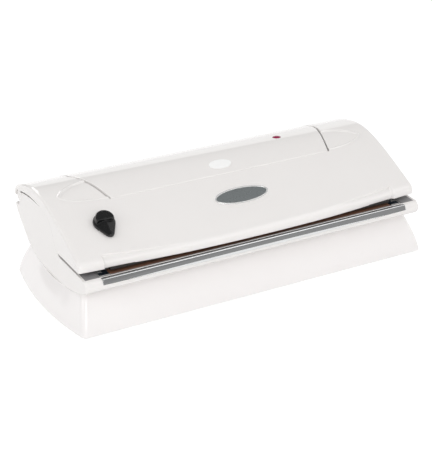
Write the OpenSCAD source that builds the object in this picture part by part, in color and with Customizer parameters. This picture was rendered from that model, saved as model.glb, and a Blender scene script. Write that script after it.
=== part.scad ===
// Bench-top vacuum sealer for kitchen bags.
// A long tub with a sealing deck stands on a flared pedestal. A lid hinged at the back wraps
// over the deck with two arms that pass on either side of a fixed crown.
// Side profiles are drawn in the plane across the body: y runs back from the front foot line
// of the pedestal, z runs up from the table. place() then moves the footprint's centre to
// the origin. X runs along the body.

/* [Overall] */
// Length of the tub between its end faces
body_len = 374; // [340:1:400]
// Distance from the front foot line to the back of the body
back_y = 170; // [160:1:180]
// How far the nose of the tub stands out in front of the foot line
nose_out = 2; // [0:0.5:4]
// Height of the highest line of the lid and crown
top_h = 106; // [100:1:112]
// Height of the deck that the bag lies on
deck_h = 56.5; // [54:0.5:60]
// Height that the rubber feet lift the pedestal
foot_h = 1.5; // [1:0.5:3]
// Wall of the tub, tray and pedestal mouldings
wall = 2.5; // [2:0.1:3]
// Gap between fixed mouldings that meet
fit_gap = 0.3; // [0.2:0.05:0.5]
// Gap between moving mouldings
move_gap = 0.6; // [0.4:0.1:1]

/* [Pedestal] */
// How far the pedestal's foot corners stand out past the tub's end faces
foot_out = 3; // [0:0.5:8]
// How far the pedestal's rim corners lie in from the tub's end faces
rim_in = 4; // [2:0.5:10]
// Bulge of each end in plan at the foot
foot_bulge = 8; // [2:0.5:12]
// Bulge of each end in plan at the rim
rim_bulge = 4; // [2:0.5:6]
// Distance from the front foot line back to the front of the top rim
rim_front = 17; // [12:1:24]
// Distance from the front foot line back to the rear of the top rim
rim_back = 143; // [136:1:148]
// Distance from the front foot line back to the rear foot line
foot_back = 163; // [156:1:168]
// Corner radius of the pedestal in plan
ped_corner = 8; // [5:1:14]
// Distance from each end face in to the posts that join pedestal and tub
post_in = 42; // [36:1:50]
// Radius of a rubber foot
foot_r = 8; // [6:0.5:10]

/* [Tub] */
// Radius of the rounded front nose
nose_r = 6.5; // [5:0.5:8]
// Lowest point of the keel under the tub
keel_h = 27; // [22:1:32]
// Height of the rear ledge where the crown stands on the tub
ledge_h = 71.5; // [66:0.5:72]
// Height of the roof over the machinery
roof_h = 92; // [88:1:94]
// Radius of the tub's corners in plan
tub_corner = 5; // [3:0.5:8]

/* [Deck] */
// Distance from each end face in to the heated part of the sealing bar
heat_in = 29; // [27:0.5:36]
// Length of the block at each end of the sealing bar
block_len = 12; // [8:1:14]
// Width of the sealing bar
bar_w = 12; // [10:0.5:13]
// Height of the sealing bar
bar_h = 5; // [4:0.5:6]
// Thickness of the heating ribbon
ribbon_t = 0.3; // [0.2:0.1:0.5]
// Width of the heating ribbon
ribbon_w = 3; // [2:0.5:5]
// Thickness of the brown release tape over the bar
tape_t = 0.4; // [0.3:0.1:0.6]
// How far the tape lies below the deck
bar_sink = 1; // [0.5:0.25:2]
// Thickness of the bright front trim
trim_t = 1.2; // [0.8:0.1:1.6]
// Distance from each end face in to the inside of the foam gasket
gasket_in = 20; // [17:0.5:24]
// Width of the foam gasket
gasket_w = 5; // [4:0.5:6]
// Distance between the two long runs of the gasket
gasket_span = 26; // [20:1:27]
// Depth of the drip trough below the deck
trough_deep = 7; // [4:1:9]
// How far the foam gasket stands above the deck
gasket_up = 3.4; // [2.5:0.1:4]

/* [Lid] */
// Wall of the lid and crown mouldings
lid_wall = 3; // [2.5:0.1:3.5]
// How far the lid stands past each end face of the tub
lid_over = 1.5; // [1:0.25:3]
// Distance from the foot line back to the lid's front edge at its ends
lip_y = 11; // [9:0.5:13]
// How far the lid's front edge bows forward at mid length
lip_bow = 5; // [0:0.5:6]
// Gap between the lid's front edge and the deck
bag_gap = 4.6; // [4.4:0.1:6]
// Height of the lid's sloping face at its front edge
face_h = 64; // [63:0.5:66]
// Distance from the foot line back to the shut line between lid and crown
shut_y = 75.5; // [72:0.5:80]
// How far the shut line lies below the highest line
shut_drop = 7.7; // [6:0.1:9]
// Corner radius of the lid in plan
lid_corner = 7; // [4:0.5:10]
// Thickness of the liner plate inside the lid
liner_t = 2.5; // [2:0.1:3]
// Depth of the pressed finger rests in the arms
rest_deep = 0.9; // [0.5:0.1:1.2]
// Depth of the finger ledges at their outer ends
ledge_deep = 1.4; // [0.8:0.1:1.8]
// Distance from each end face in to the outer end of the finger ledge
ledge_end = 25; // [18:1:34]
// Length of each finger ledge
ledge_long = 85; // [60:1:100]

/* [Crown] */
// Distance from each end face in to the crown at the shut line
crown_in = 63; // [58:1:76]
// Distance from each end face in to the crown from its shoulder back
shoulder_in = 45; // [43:1:50]
// Distance from the foot line back to the crown's shoulder
crown_shoulder_y = 133; // [125:1:140]
// Gap between the crown and each lid arm
arm_gap = 2; // [1.5:0.1:2.5]

/* [Hinge] */
// Outer radius of the lid's rolled rear edge, centred on the hinge
hinge_r = 11.5; // [11:0.25:13]
// Height of the hinge axis
hinge_h = 82.5; // [81:0.5:84]
// Radius of the hinge pins
pin_r = 2.5; // [2:0.25:3]
// Running gap round each hinge pin
pin_gap = 0.05; // [0.02:0.01:0.1]
// Wall of the hinge ears round the pin
ear_wall = 4.2; // [3:0.1:4.5]
// Distance from each end face in to the middle of the base ear
ear_in = 24; // [21:0.5:26]
// Width of each base ear
ear_w = 12; // [8:1:14]
// Width of each lid knuckle
knuckle_w = 6; // [4:0.5:7]
// Angle that the lid is pressed down below its resting place
press_deg = 1; // [0.5:0.1:1.2]
// Angle that the lid opens
open_deg = 60; // [50:1:62]

/* [Knob] */
// Distance from the left end face in to the valve knob
knob_in = 42; // [34:1:56]
// Distance from the foot line back to the valve knob
knob_y = 48.5; // [44:0.5:54]
// Radius of the knob's round base
knob_r = 10.5; // [9:0.5:12]
// Height of the knob's round base
knob_base_h = 5; // [3:0.5:6]
// Height of the knob's grip above its base
grip_h = 6; // [4:0.5:8]
// Reach of the pointer from the knob's axis
pointer_reach = 15; // [13:0.5:18]
// Radius of the valve spindle
spindle_r = 3; // [2.5:0.25:3.5]
// Length of the valve body inside the lid
valve_len = 13; // [11:0.5:15]

/* [Plates and light] */
// Half length of the oval name plate on the lid
plate_a = 30; // [24:1:36]
// Half height of the oval name plate on the lid
plate_b = 10.4; // [8:0.2:12]
// Distance from the foot line back to the middle of the name plate
plate_y = 46; // [42:0.5:50]
// Width of the bright rim round the name plate
rim_w = 1.8; // [1:0.2:2.5]
// Half length of the oval badge on the crown
badge_a = 12.5; // [10:0.5:15]
// Half depth of the oval badge on the crown
badge_b = 7; // [5:0.5:8]
// Distance from the foot line back to the middle of the badge
badge_y = 90; // [87:0.5:96]
// Distance right of mid length to the middle of the plate and badge
plate_x = 3; // [-10:1:10]
// Distance right of mid length to the signal light
led_x = 88; // [60:1:100]
// Distance from the foot line back to the signal light
led_y = 120; // [112:1:128]
// Radius of the signal light's lens
led_r = 4.5; // [3:0.5:6]
// Thickness of the name plate and of the badge
plate_t = 1.2; // [0.8:0.1:1.6]
// Depth that the plate and badge are let into their moulding
plate_sink = 0.8; // [0.4:0.1:1.2]

/* [Machinery] */
// Outer radius of the pump motor
motor_r = 18; // [15:0.5:20]
// Length of the pump motor
motor_len = 58; // [50:1:64]
// Distance right of mid length to the inner end of the pump motor
motor_x = 60; // [50:1:70]
// Radius of the motor shaft
shaft_r = 1.6; // [1.2:0.1:2]
// Radius of the cooling fan
fan_r = 15; // [12:0.5:17]
// Length of the pump head along the motor axis
pump_len = 26; // [20:1:30]
// Width of the transformer along the body
trafo_w = 58; // [50:1:64]
// Depth of the transformer across the body
trafo_d = 40; // [34:1:44]
// Height of the transformer core
trafo_h = 44; // [38:1:46]
// Distance from the left end face in to the middle of the transformer
trafo_in = 82; // [77:1:88]
// Length of the circuit board
board_len = 84; // [60:1:90]
// Width of the circuit board
board_w = 40; // [30:1:44]
// Radius of the air hose
hose_r = 4; // [3.5:0.25:4.5]
// Bore radius of the air hose
hose_bore_r = 2.5; // [2:0.25:3]
// Distance right of mid length to the air port in the trough
port_x = 45; // [41:1:48]
// Travel of the start plungers
plunger_travel = 2; // [1:0.25:2.5]
// Radius of the start plungers
plunger_r = 2.5; // [2:0.25:3]
// Distance from each end face in to the start plunger
plunger_in = 35; // [33:1:38]
// Distance from the foot line back to the start plungers
plunger_y = 96; // [92:1:104]

/* [Power inlet] */
// Distance left of mid length to the power inlet
inlet_x = 100; // [60:1:125]
// Width of the power inlet
inlet_w = 24; // [20:1:28]
// Height of the power inlet
inlet_h = 13; // [11:0.5:13]

/* [Hidden] */

$fn = 48;
eps = 0.01;
far = 400;          // larger than the body, for cutters

// ---- Places measured in from the end faces --------------------------------------------
end_x = body_len / 2;
foot_half = end_x + foot_out;
rim_half = end_x - rim_in;
heat_half = end_x - heat_in;
gasket_half = end_x - gasket_in;
ledge_out = end_x - ledge_end;
ledge_in = ledge_out - ledge_long;
crown_half = end_x - crown_in;
crown_back_half = end_x - shoulder_in;
ear_x = end_x - ear_in;
knob_x = end_x - knob_in;
trafo_x = end_x - trafo_in;
plunger_x = end_x - plunger_in;
post_x = end_x - post_in;

// ---- Curves -------------------------------------------------------------------------
function bez(a, b, c, d, n = 10) = [for (i = [0:n]) let (t = i / n, u = 1 - t)
    u * u * u * a + 3 * u * u * t * b + 3 * u * t * t * c + t * t * t * d];
function arc(c, r, from, to, n = 12) = [for (i = [0:n])
    let (a = from + (to - from) * i / n) c + r * [cos(a), sin(a)]];
function tail(p) = [for (i = [1:len(p) - 1]) p[i]];
function reverse(p) = [for (i = [len(p) - 1:-1:0]) p[i]];
// Moves an open path sideways by d, to the right of its direction.
function inset(p, d) = [for (i = [0:len(p) - 1])
    let (t = p[min(i + 1, len(p) - 1)] - p[max(i - 1, 0)], n = [t[1], -t[0]] / norm(t)) p[i] + d * n];
function band(p, d) = concat(p, reverse(inset(p, d)));
function lift(p, y, z) = [for (q = p) q + [y, z]];
function oval(a, b, n = 64) = [for (i = [0:n - 1]) [a * cos(360 * i / n), b * sin(360 * i / n)]];

// ---- Hinge --------------------------------------------------------------------------
hinge_y = back_y - hinge_r - 0.5;
hinge = [hinge_y, hinge_h];
hinge_in_r = hinge_r - lid_wall;                    // inside of the rolled rear edge
ear_r = min(pin_r + ear_wall, hinge_in_r - move_gap);
boss_r = hinge_in_r - 3.5;                          // round end of the tub's end face
ring_in_r = boss_r + move_gap;                      // lid cheek round that end
boss_deg = 125;                                     // where the round end meets the roof line
skirt_deg = -5;                                     // where the rolled edge ends
sweep_deg = skirt_deg - open_deg - 4;               // lowest reach of the rolled edge

// ---- Lid and crown outline ----------------------------------------------------------
shut = [shut_y, top_h - shut_drop];
shut_r = norm(shut - hinge);                        // the shut line is an arc round the hinge
crest = [112, top_h];
face_start = [lip_y - lip_bow - 5, face_h];
roll_deg = 65;
roll = hinge + hinge_r * [cos(roll_deg), sin(roll_deg)];
roll_dir = [sin(roll_deg), -cos(roll_deg)];
face_path = bez(face_start, face_start + [25, 12.5], shut - [19.5, 7.2], shut, 12);
over_path = bez(shut, shut + [11.5, 4.3], crest - [12, 0], crest, 10);
tail_path = bez(crest, crest + [18, 0], roll - 12 * roll_dir, roll, 8);
top_path = concat(face_path, tail(over_path), tail(tail_path),
    tail(arc(hinge, hinge_r, roll_deg, skirt_deg, 10)));
front_path = concat(face_path, tail(over_path), tail(tail_path));
function top_at(y) = lookup(y, front_path);
function slope_at(y) = atan2(top_at(y + 2) - top_at(y - 2), 4);

// ---- Deck and roof outline: it is also the top edge of the tub's end faces -----------
rise_y = 58;                                        // where the deck starts to rise
roof_front = [rise_y + 30, roof_h - 3];
roof_back_y = hinge_y - ear_r - 1.5;
roof_end = [roof_back_y, roof_h - 3.5];
rise_path = bez([rise_y, deck_h], [rise_y + 14, deck_h + 1], [rise_y + 12, roof_front[1] - 5],
    roof_front, 10);
roof_path = bez(roof_front, roof_front + [12, 3.5], roof_end - [22, -4.5], roof_end, 8);
deck_path = concat(rise_path, tail(roof_path));
function roof_at(y) = lookup(y, deck_path);

// ---- Tub outline --------------------------------------------------------------------
nose_c = [nose_r - nose_out, deck_h - nose_r];
nose_low_deg = 236;
nose_path = arc(nose_c, nose_r, 90, nose_low_deg, 14);
nose_low = nose_c + nose_r * [cos(nose_low_deg), sin(nose_low_deg)];
keel = [87, keel_h];
heel = [150, keel_h + 19];
keel_front = bez(nose_low, nose_low + [19, -11.6], keel - [32, 0], keel, 10);
keel_back = bez(keel, keel + [31, 0], heel - [13, 13], heel, 8);
heel_path = bez(heel, heel + [8, 8], [back_y, ledge_h - 11], [back_y, ledge_h], 8);
under_path = concat(keel_front, tail(keel_back), tail(heel_path));
hull_path = concat(nose_path, tail(under_path));
function under_at(y) = lookup(y, under_path);

// ---- Deck layout --------------------------------------------------------------------
bar_half = heat_half + block_len;
spring_r = 2.5;                                     // springs under the bar
spring_xs = [-120:80:120];
spring_wire_r = 0.45;
bar_y = nose_c[0] + 1.8;                            // front of the sealing bar
bar_gap = 0.5;                                      // round the bar in its channel
tape_top = deck_h - bar_sink;
bar_top = tape_top - tape_t - ribbon_t;
channel_y = bar_y + bar_w + 2 * bar_gap;            // rear wall of the bar's channel
channel_floor = bar_top - bar_h - 2.5;
spring_pocket = 2;                                  // depth of the spring pockets in the bar
spring_rest = 0.1;                                  // gap at each end of a spring
spring_pitch = (bar_top - bar_h + spring_pocket - channel_floor - 2 * spring_rest
    - 2 * spring_wire_r) / 3;
channel_wall = 0.8;
channel_front = bar_y - bar_gap;
gasket_y = channel_y + 1.5;                         // front of the gasket
gasket_back = gasket_y + gasket_span + 2 * gasket_w;
gasket_sink = 2;                                    // depth of the gasket's groove
gasket_top = deck_h + gasket_up;
trough_rim = 3;                                     // land between gasket and trough
trough_half = gasket_half - trough_rim;
trough_y = gasket_y + gasket_w + trough_rim;
trough_back = gasket_back - gasket_w - trough_rim;
trough_floor = deck_h - trough_deep;
port_y = trough_back - hose_r - 3;
tray_half = body_len / 2 - wall - fit_gap;
end_in = body_len / 2 - wall;

// ---- Inside the lid -----------------------------------------------------------------
lid_half = body_len / 2 + lid_over;
rest_long = 49;                                     // reach of a finger rest along the arm
rest_front = 2.5;                                   // its front edge lies behind the shut line
rest_tip = 16;                                      // how far back its tip lies
rest_back = 36;                                     // how far back it ends beside the crown
lid_low = deck_h + bag_gap;
drop_per_mm = tan(press_deg);                       // fall of the pressed lid per mm of reach
strip_low = tape_top + (hinge_y - bar_y) * drop_per_mm + move_gap / 2;
liner_low = gasket_top + 1.4;
liner_top = liner_low + liner_t;
liner_front = lip_y + lid_wall + 0.6;
pad_w = 8;                                          // silicone pad over the heating ribbon
stem_w = 2;
stem_y = bar_y + bar_w - 1 - stem_w;
liner_back = gasket_back + 1.2;
liner_half = gasket_half + gasket_w + 5;
boss_out_r = 4;
screw_r = 1.5;
liner_boss_x = [for (i = [-2.5:1:2.5]) i * liner_half / 3];
liner_boss_y = (trough_y + trough_back) / 2;

// ---- Valve --------------------------------------------------------------------------
knob_tilt = slope_at(knob_y);
valve_bore_r = spindle_r + 0.05;

// ---- Machinery layout ---------------------------------------------------------------
motor_y = 118;
motor_z = 62;
motor_can_t = 1.5;
mount_z = 38;                                       // underside of the machinery's mounts
fan_gap = 4;
post_ys = [34, 128];
post_r = 5;
plate_top = foot_h + wall;
foot_xs = foot_half - 26;
foot_ys = [18, 144];

module place() translate([0, -(back_y - nose_out) / 2, 0]) children();
module along_x(half, from = undef) {
    start = is_undef(from) ? -half : from;
    translate([start, 0, 0]) rotate([90, 0, 90]) linear_extrude(half - start) children();
}
module both_sides() {
    children();
    mirror([1, 0, 0]) children();
}
// Puts children on the lid's or crown's top, with +Z along its outward normal.
module on_top(x, y, sink = 0) translate([x, y, top_at(y)]) rotate([slope_at(y), 0, 0])
    translate([0, 0, -sink]) children();

// ---- Plan outlines ------------------------------------------------------------------
module tub_plan() translate([0, 0, -eps]) linear_extrude(far) {
    half = body_len / 2;
    polygon(concat(
        arc([-half + tub_corner, -nose_out + tub_corner], tub_corner, 180, 270, 6),
        arc([half - tub_corner, -nose_out + tub_corner], tub_corner, 270, 360, 6),
        arc([half - tub_corner, back_y - tub_corner], tub_corner, 0, 90, 6),
        arc([-half + tub_corner, back_y - tub_corner], tub_corner, 90, 180, 6)));
}
// The lid's outline from above, drawn in by a distance, with a bowed front edge.
function lid_front_at(x, in) = lip_y + in - lip_bow * (1 - pow(x / lid_half, 2));
module lid_plan(in = 0) translate([0, 0, -eps]) linear_extrude(far) {
    half = lid_half - in;
    r = max(lid_corner - in, 1);
    run = half - r;
    polygon(concat(
        arc([-run, lid_front_at(run, in) + r], r, 180, 262, 6),
        [for (i = [1:23]) let (x = -run + 2 * run * i / 24) [x, lid_front_at(x, in)]],
        arc([run, lid_front_at(run, in) + r], r, 278, 360, 6),
        [[half, back_y + 30], [-half, back_y + 30]]));
}
// The crown's outline from above, drawn out by a distance.
module crown_plan(out = 0) translate([0, 0, -eps]) linear_extrude(far) {
    front = shut_y - 20;
    taper = (crown_back_half - crown_half) / (crown_shoulder_y - shut_y);
    lead = crown_half - taper * (shut_y - front);
    polygon([[-lead - out, front], [lead + out, front],
        [crown_back_half + out, crown_shoulder_y], [crown_back_half + out, far],
        [-crown_back_half - out, far], [-crown_back_half - out, crown_shoulder_y]]);
}

// ---- Pedestal ------------------------------------------------------------------------
rings = 8;
side_n = 10;
corner_n = 5;
function flare(s) = (s + sin(90 * s)) / 2;
function ped_corner_arc(hx, y, from, sx) = [for (i = [0:corner_n])
    let (a = from + 90 * i / corner_n) [sx * (hx - ped_corner), y] + ped_corner * [cos(a), sin(a)]];
function ped_end(hx, y0, y1, bulge, sx) = [for (i = [1:side_n - 1])
    let (u = 2 * i / side_n - 1, y = (y0 + y1) / 2 + u * (y1 - y0) / 2)
    [sx * (hx + bulge * (1 - u * u)), y]];
// The pedestal in plan at a level from 0, the rim, to 1, the foot, drawn in by a distance.
function ped_plan(s, in = 0) = let (f = flare(s),
    hx = rim_half + (foot_half - rim_half) * f - in,
    bulge = rim_bulge + (foot_bulge - rim_bulge) * f,
    y0 = rim_front * (1 - f) + in + ped_corner,
    y1 = rim_back + (foot_back - rim_back) * f - in - ped_corner)
    concat(ped_corner_arc(hx, y0, 180, -1), ped_corner_arc(hx, y0, 270, 1),
        ped_end(hx, y0, y1, bulge, 1),
        ped_corner_arc(hx, y1, 0, 1), ped_corner_arc(hx, y1, 90, -1),
        reverse(ped_end(hx, y0, y1, bulge, -1)));
function ped_ring(s, in) = let (rim = ped_plan(0, in), here = ped_plan(s, in))
    [for (i = [0:len(here) - 1])
        [here[i][0], here[i][1], (under_at(rim[i][1]) - fit_gap) * (1 - s) + foot_h * s]];

module pedestal() {
    outer = [for (k = [rings:-1:0]) ped_ring(k / rings, 0)];
    inner = [for (k = [0:rings]) ped_ring(k / rings, wall)];
    loops = concat(outer, inner);
    n = len(loops[0]);
    m = len(loops);
    color("#f4f2f1") place() polyhedron(
        points = [for (l = loops, q = l) q],
        faces = [for (j = [0:m - 1], i = [0:n - 1], h = [0, 1])
            let (a = j * n + i, b = j * n + (i + 1) % n,
                c = ((j + 1) % m) * n + (i + 1) % n, d = ((j + 1) % m) * n + i)
            h == 0 ? [a, c, b] : [a, d, c]]);
}
module post_holes(r) both_sides() for (y = post_ys)
    translate([post_x, y, -eps]) cylinder(r = r, h = far);
module bottom_plate() color("#dedcdb") place() difference() {
    translate([0, 0, foot_h]) linear_extrude(wall) polygon(ped_plan(0.9, wall + fit_gap));
    post_holes(screw_r + 0.3);
    for (x = foot_xs * [-1, 1], y = foot_ys)
        translate([x, y, 0]) cylinder(r = foot_r + 0.1, h = foot_h + wall / 2);
    for (x = [-70:10:70]) translate([x, 62, 0]) cube([4, 44, far]);
}
module rubber_feet() color("#2b2b2c") place() for (x = foot_xs * [-1, 1], y = foot_ys)
    translate([x, y, 0]) difference() {
        cylinder(r = foot_r, h = foot_h + wall / 2 - 0.05);
        translate([0, 0, -eps]) cylinder(r = foot_r / 3, h = foot_h / 2);
    }
module base_screws() color("#b9bcc0") place() both_sides() for (y = post_ys)
    translate([post_x, y, 0]) {
        translate([0, 0, foot_h - 0.6]) cylinder(r = 2 * screw_r, h = 0.6 - eps);
        translate([0, 0, foot_h - 0.3]) cylinder(r = screw_r - 0.1, h = 14);
    }

// ---- Tub -----------------------------------------------------------------------------
// The end face: its top edge carries on from the deck over the roof to a round boss.
function end_outline() = concat(reverse(under_path), reverse(tail(nose_path)), [nose_path[0]],
    deck_path,
    arc(hinge, boss_r, boss_deg, sweep_deg, 14),
    [[hinge_y + (hinge_h - ledge_h) / tan(-sweep_deg), ledge_h]]);
module trim_band(grow = 0) polygon(band(
    arc(nose_c, nose_r + eps, 95 - grow, 192 + grow, 12), -(trim_t + grow / 20)));
module tub_shell() color("#f3f1f0") place() difference() {
    union() {
        intersection() {
            union() {
                along_x(end_in + eps) polygon(band(hull_path, -wall));
                both_sides() along_x(body_len / 2, end_in) polygon(end_outline());
            }
            tub_plan();
        }
        both_sides() for (y = post_ys) difference() {
            translate([post_x, y, plate_top + 0.1])
                cylinder(r = post_r, h = under_at(y) + 1 - plate_top);
            translate([post_x, y, 0]) cylinder(r = screw_r - 0.1, h = 20);
        }
    }
    along_x(bar_half + 0.5) trim_band(1);
    // Opening for the power inlet
    translate([-inlet_x - inlet_w / 2 - 0.2, heel[1] - 40, inlet_z - 0.2])
        cube([inlet_w + 0.4, far, inlet_h + 0.4]);
}
// The tray closes the tub from behind the nose to the ledge under the crown.
tray_front = nose_c[0] + 0.5;
tray_back = back_y - wall - fit_gap - 1.5;
module tray_pocket(x, y0, y1, z) translate([-x, y0, z]) cube([2 * x, y1 - y0, far]);
module tray_shell() along_x(tray_half) polygon(concat(
    [[tray_front, deck_h]], deck_path,
    [[roof_back_y, ledge_h], [tray_back, ledge_h],
     [tray_back, ledge_h - wall], [roof_back_y - wall, ledge_h - wall]],
    reverse(inset(deck_path, wall)),
    [[tray_front, deck_h - wall]]));
module hinge_ear() {
    translate([ear_x - ear_w / 2, hinge_y, hinge_h]) rotate([0, 90, 0])
        cylinder(r = ear_r, h = ear_w);
    translate([ear_x - ear_w / 2, roof_back_y - eps, ledge_h - wall + eps])
        cube([ear_w, hinge_y - roof_back_y + 1.5, hinge_h - ledge_h + wall - 3]);
}
module deck_tray() color("#8d8c8e") place() difference() {
    union() {
        tray_shell();
        // Channel of the sealing bar
        along_x(bar_half + wall)
            translate([channel_front - channel_wall, channel_floor - channel_wall - 0.4])
                square([channel_y - channel_front + 2 * channel_wall,
                    deck_h - channel_floor + channel_wall + 0.4 - eps]);
        // Drip trough and gasket groove
        along_x(gasket_half + gasket_w + wall) translate([gasket_y - wall / 2, trough_floor - wall])
            square([gasket_back - gasket_y + wall, trough_deep + wall - eps]);
        both_sides() hinge_ear();
        both_sides() translate([plunger_x, plunger_y, roof_at(plunger_y) - 8])
            cylinder(r = plunger_r + 2, h = 6);
    }
    tray_pocket(bar_half + bar_gap, channel_front, channel_y, channel_floor);
    tray_pocket(trough_half, trough_y, trough_back, trough_floor);
    difference() {
        tray_pocket(gasket_half + gasket_w, gasket_y, gasket_back, deck_h - gasket_sink);
        tray_pocket(gasket_half, gasket_y + gasket_w, gasket_back - gasket_w, 0);
    }
    // Port hole, hinge pin bores, plunger bores, screw holes under the crown
    translate([port_x, port_y, 0]) cylinder(r = hose_r + 0.05, h = far);
    translate([-far / 2, hinge_y, hinge_h]) rotate([0, 90, 0])
        cylinder(r = pin_r + 0.01, h = far);
    both_sides() translate([plunger_x, plunger_y, 60]) cylinder(r = plunger_r + 0.08, h = far);
    crown_screw_places() translate([0, 0, -20]) cylinder(r = screw_r + 0.2, h = 40);
}
module chrome_trim() color("#c9cbce") place() along_x(bar_half) trim_band();

// ---- Sealing bar ---------------------------------------------------------------------
module bar_block(half, from, z, h, w = bar_w) translate([from, bar_y + (bar_w - w) / 2, z])
    cube([half - from, w, h]);
module seal_bar() color("#b8b3a6") place() difference() {
    bar_block(heat_half, -heat_half, bar_top - bar_h, bar_h);
    for (x = spring_xs) translate([x, bar_y + bar_w / 2, 0])
        cylinder(r = spring_r + 0.3, h = bar_top - bar_h + spring_pocket);
}
module heating_ribbon() color("#9b8f86") place()
    bar_block(heat_half - 1, 1 - heat_half, bar_top, ribbon_t - eps, ribbon_w);
module release_tape() color("#7a5546") place() union() {
    bar_block(heat_half, -heat_half, bar_top + ribbon_t, tape_t);
    for (y = [bar_y - tape_t, bar_y + bar_w]) translate([-heat_half, y + eps, bar_top - 2])
        cube([2 * heat_half, tape_t - 2 * eps, 2 + ribbon_t + tape_t]);
}
module bar_end_blocks() color("#2b3540") place() both_sides() difference() {
    bar_block(bar_half, heat_half + 0.1, channel_floor + eps, tape_top - channel_floor);
    translate([heat_half - eps, bar_y + 3, bar_top - bar_h - 1]) cube([3, bar_w - 6, far]);
    translate([bar_half - block_len / 2, bar_y + bar_w / 2, bar_top - 4])
        cylinder(r = screw_r, h = far);
}
module bar_clips() color("#cfd1d3") place() both_sides() {
    translate([bar_half - block_len / 2, bar_y + 0.6, tape_top + 0.02])
        cube([block_len / 2 - 0.6, bar_w - 1.2, 0.5]);
    translate([bar_half - block_len / 2, bar_y + bar_w / 2, bar_top - 3])
        cylinder(r = screw_r - 0.05, h = tape_top - bar_top + 3.1);
    translate([bar_half - block_len / 2, bar_y + bar_w / 2, tape_top + 0.4])
        cylinder(r = 2 * screw_r, h = 1);
}
module bar_springs() color("#a9abae") place() for (x = spring_xs)
    translate([x, bar_y + bar_w / 2, channel_floor + spring_rest]) for (k = [0:3])
        translate([0, 0, spring_wire_r + k * spring_pitch]) rotate_extrude()
            translate([spring_r - 0.5, 0]) circle(r = spring_wire_r, $fn = 16);

// ---- Vacuum chamber ------------------------------------------------------------------
module gasket_ring(z, h, w = gasket_w) difference() {
    half = gasket_half + (gasket_w + w) / 2;
    y0 = gasket_y + (gasket_w - w) / 2;
    y1 = gasket_back - (gasket_w - w) / 2;
    translate([-half, y0, z]) cube([2 * half, y1 - y0, h]);
    translate([-half + w, y0 + w, z - 1]) cube([2 * half - 2 * w, y1 - y0 - 2 * w, h + 2]);
}
module lower_gasket() color("#3a3a3c") place()
    gasket_ring(deck_h - gasket_sink + 0.02, gasket_sink + gasket_up, gasket_w - 0.2);
module vacuum_port() color("#e6e4e2") place() translate([port_x, port_y, 0]) difference() {
    union() {
        translate([0, 0, trough_floor - wall - 2.2]) cylinder(r = hose_bore_r - 0.05, h = 3);
        translate([0, 0, trough_floor - wall + eps]) cylinder(r = hose_r - eps, h = wall + 2);
        translate([0, 0, trough_floor + eps]) cylinder(r = hose_r + 1.5, h = 1);
    }
    cylinder(r = hose_bore_r - 1.2, h = far);
}
hose_z = 37.5;
hose_bend = 7;
module hose_section() difference() {
    circle(r = hose_r);
    circle(r = hose_bore_r);
}
module air_hose() color("#d8d6d2") place() translate([port_x, port_y, 0]) {
    translate([0, 0, hose_z + hose_bend]) linear_extrude(
        trough_floor - wall - 0.2 - hose_z - hose_bend) hose_section();
    translate([0, hose_bend, hose_z + hose_bend]) rotate([180, 0, 0]) rotate([90, 0, 90])
        rotate_extrude(angle = 90) translate([hose_bend, 0]) hose_section();
    translate([0, hose_bend, hose_z]) rotate([-90, 0, 0])
        linear_extrude(pump_front - port_y - hose_bend - 0.2) hose_section();
}

// ---- Pump and motor ------------------------------------------------------------------
pump_w = 40;
pump_h = 38;
crank_r = 13;
pump_front = motor_y - pump_w / 2;
pump_x = motor_x - 4 - pump_len;
module motor_axis(x) translate([x, motor_y, motor_z]) rotate([0, 90, 0]) children();
module pump_head() color("#5b5d60") place() difference() {
    union() {
        translate([pump_x, pump_front, mount_z + 3]) cube([pump_len, pump_w, pump_h]);
        translate([port_x, pump_front - 6, hose_z]) rotate([-90, 0, 0])
            cylinder(r = hose_bore_r - 0.05, h = 10);
        translate([port_x - 5, pump_front, hose_z - 4]) cube([10, 8, 10]);
    }
    // Crank chamber for the eccentric, open to the motor
    motor_axis(pump_x + 6) cylinder(r = crank_r, h = far);
}
module motor_can() color("#9fa3a8") place() difference() {
    motor_axis(motor_x) cylinder(r = motor_r, h = motor_len);
    motor_axis(motor_x + motor_can_t) cylinder(r = motor_r - motor_can_t,
        h = motor_len - 2 * motor_can_t);
    motor_axis(0) cylinder(r = shaft_r + 0.05, h = far);
}
module motor_rotor() color("#c58a4a") place() {
    motor_axis(pump_x + 8) cylinder(r = shaft_r, h = motor_x + motor_len + fan_gap + 8
        - pump_x - 8);
    motor_axis(motor_x + 9) cylinder(r = motor_r - motor_can_t - 3.5, h = motor_len - 18);
    motor_axis(pump_x + 9) translate([2.5, 0, 0]) cylinder(r = 6, h = 8);
}
module cooling_fan() color("#4a4c50") place() difference() {
    union() {
        motor_axis(motor_x + motor_len + fan_gap) cylinder(r = 4.5, h = 7);
        for (k = [0:6]) motor_axis(motor_x + motor_len + fan_gap) rotate([0, 0, k * 360 / 7])
            translate([3, -0.8, 0]) rotate([20, 0, 0]) translate([0, 0, 1.2])
                cube([fan_r - 3, 1.2, 5]);
    }
    motor_axis(0) cylinder(r = shaft_r + 0.01, h = far);
}
mount_far = motor_x + motor_len - 6;
module motor_mount() color("#8f9296") place() difference() {
    union() {
        translate([pump_x, motor_y - 10, mount_z - 0.5]) cube([mount_far - pump_x, 25, 2.5]);
        for (x = [motor_x + 6, mount_far - 8]) translate([x, motor_y - 14, mount_z])
            cube([5, 28, motor_z - mount_z - 6]);
        for (x = [pump_x + 4, mount_far - 10], y = [motor_y - 10, motor_y + 4])
            translate([x, y, under_at(y + 5) + wall * 1.4])
                cube([6, 5, mount_z - under_at(y + 5) - wall * 1.4]);
    }
    motor_axis(0) cylinder(r = motor_r + 0.05, h = far);
}

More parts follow.
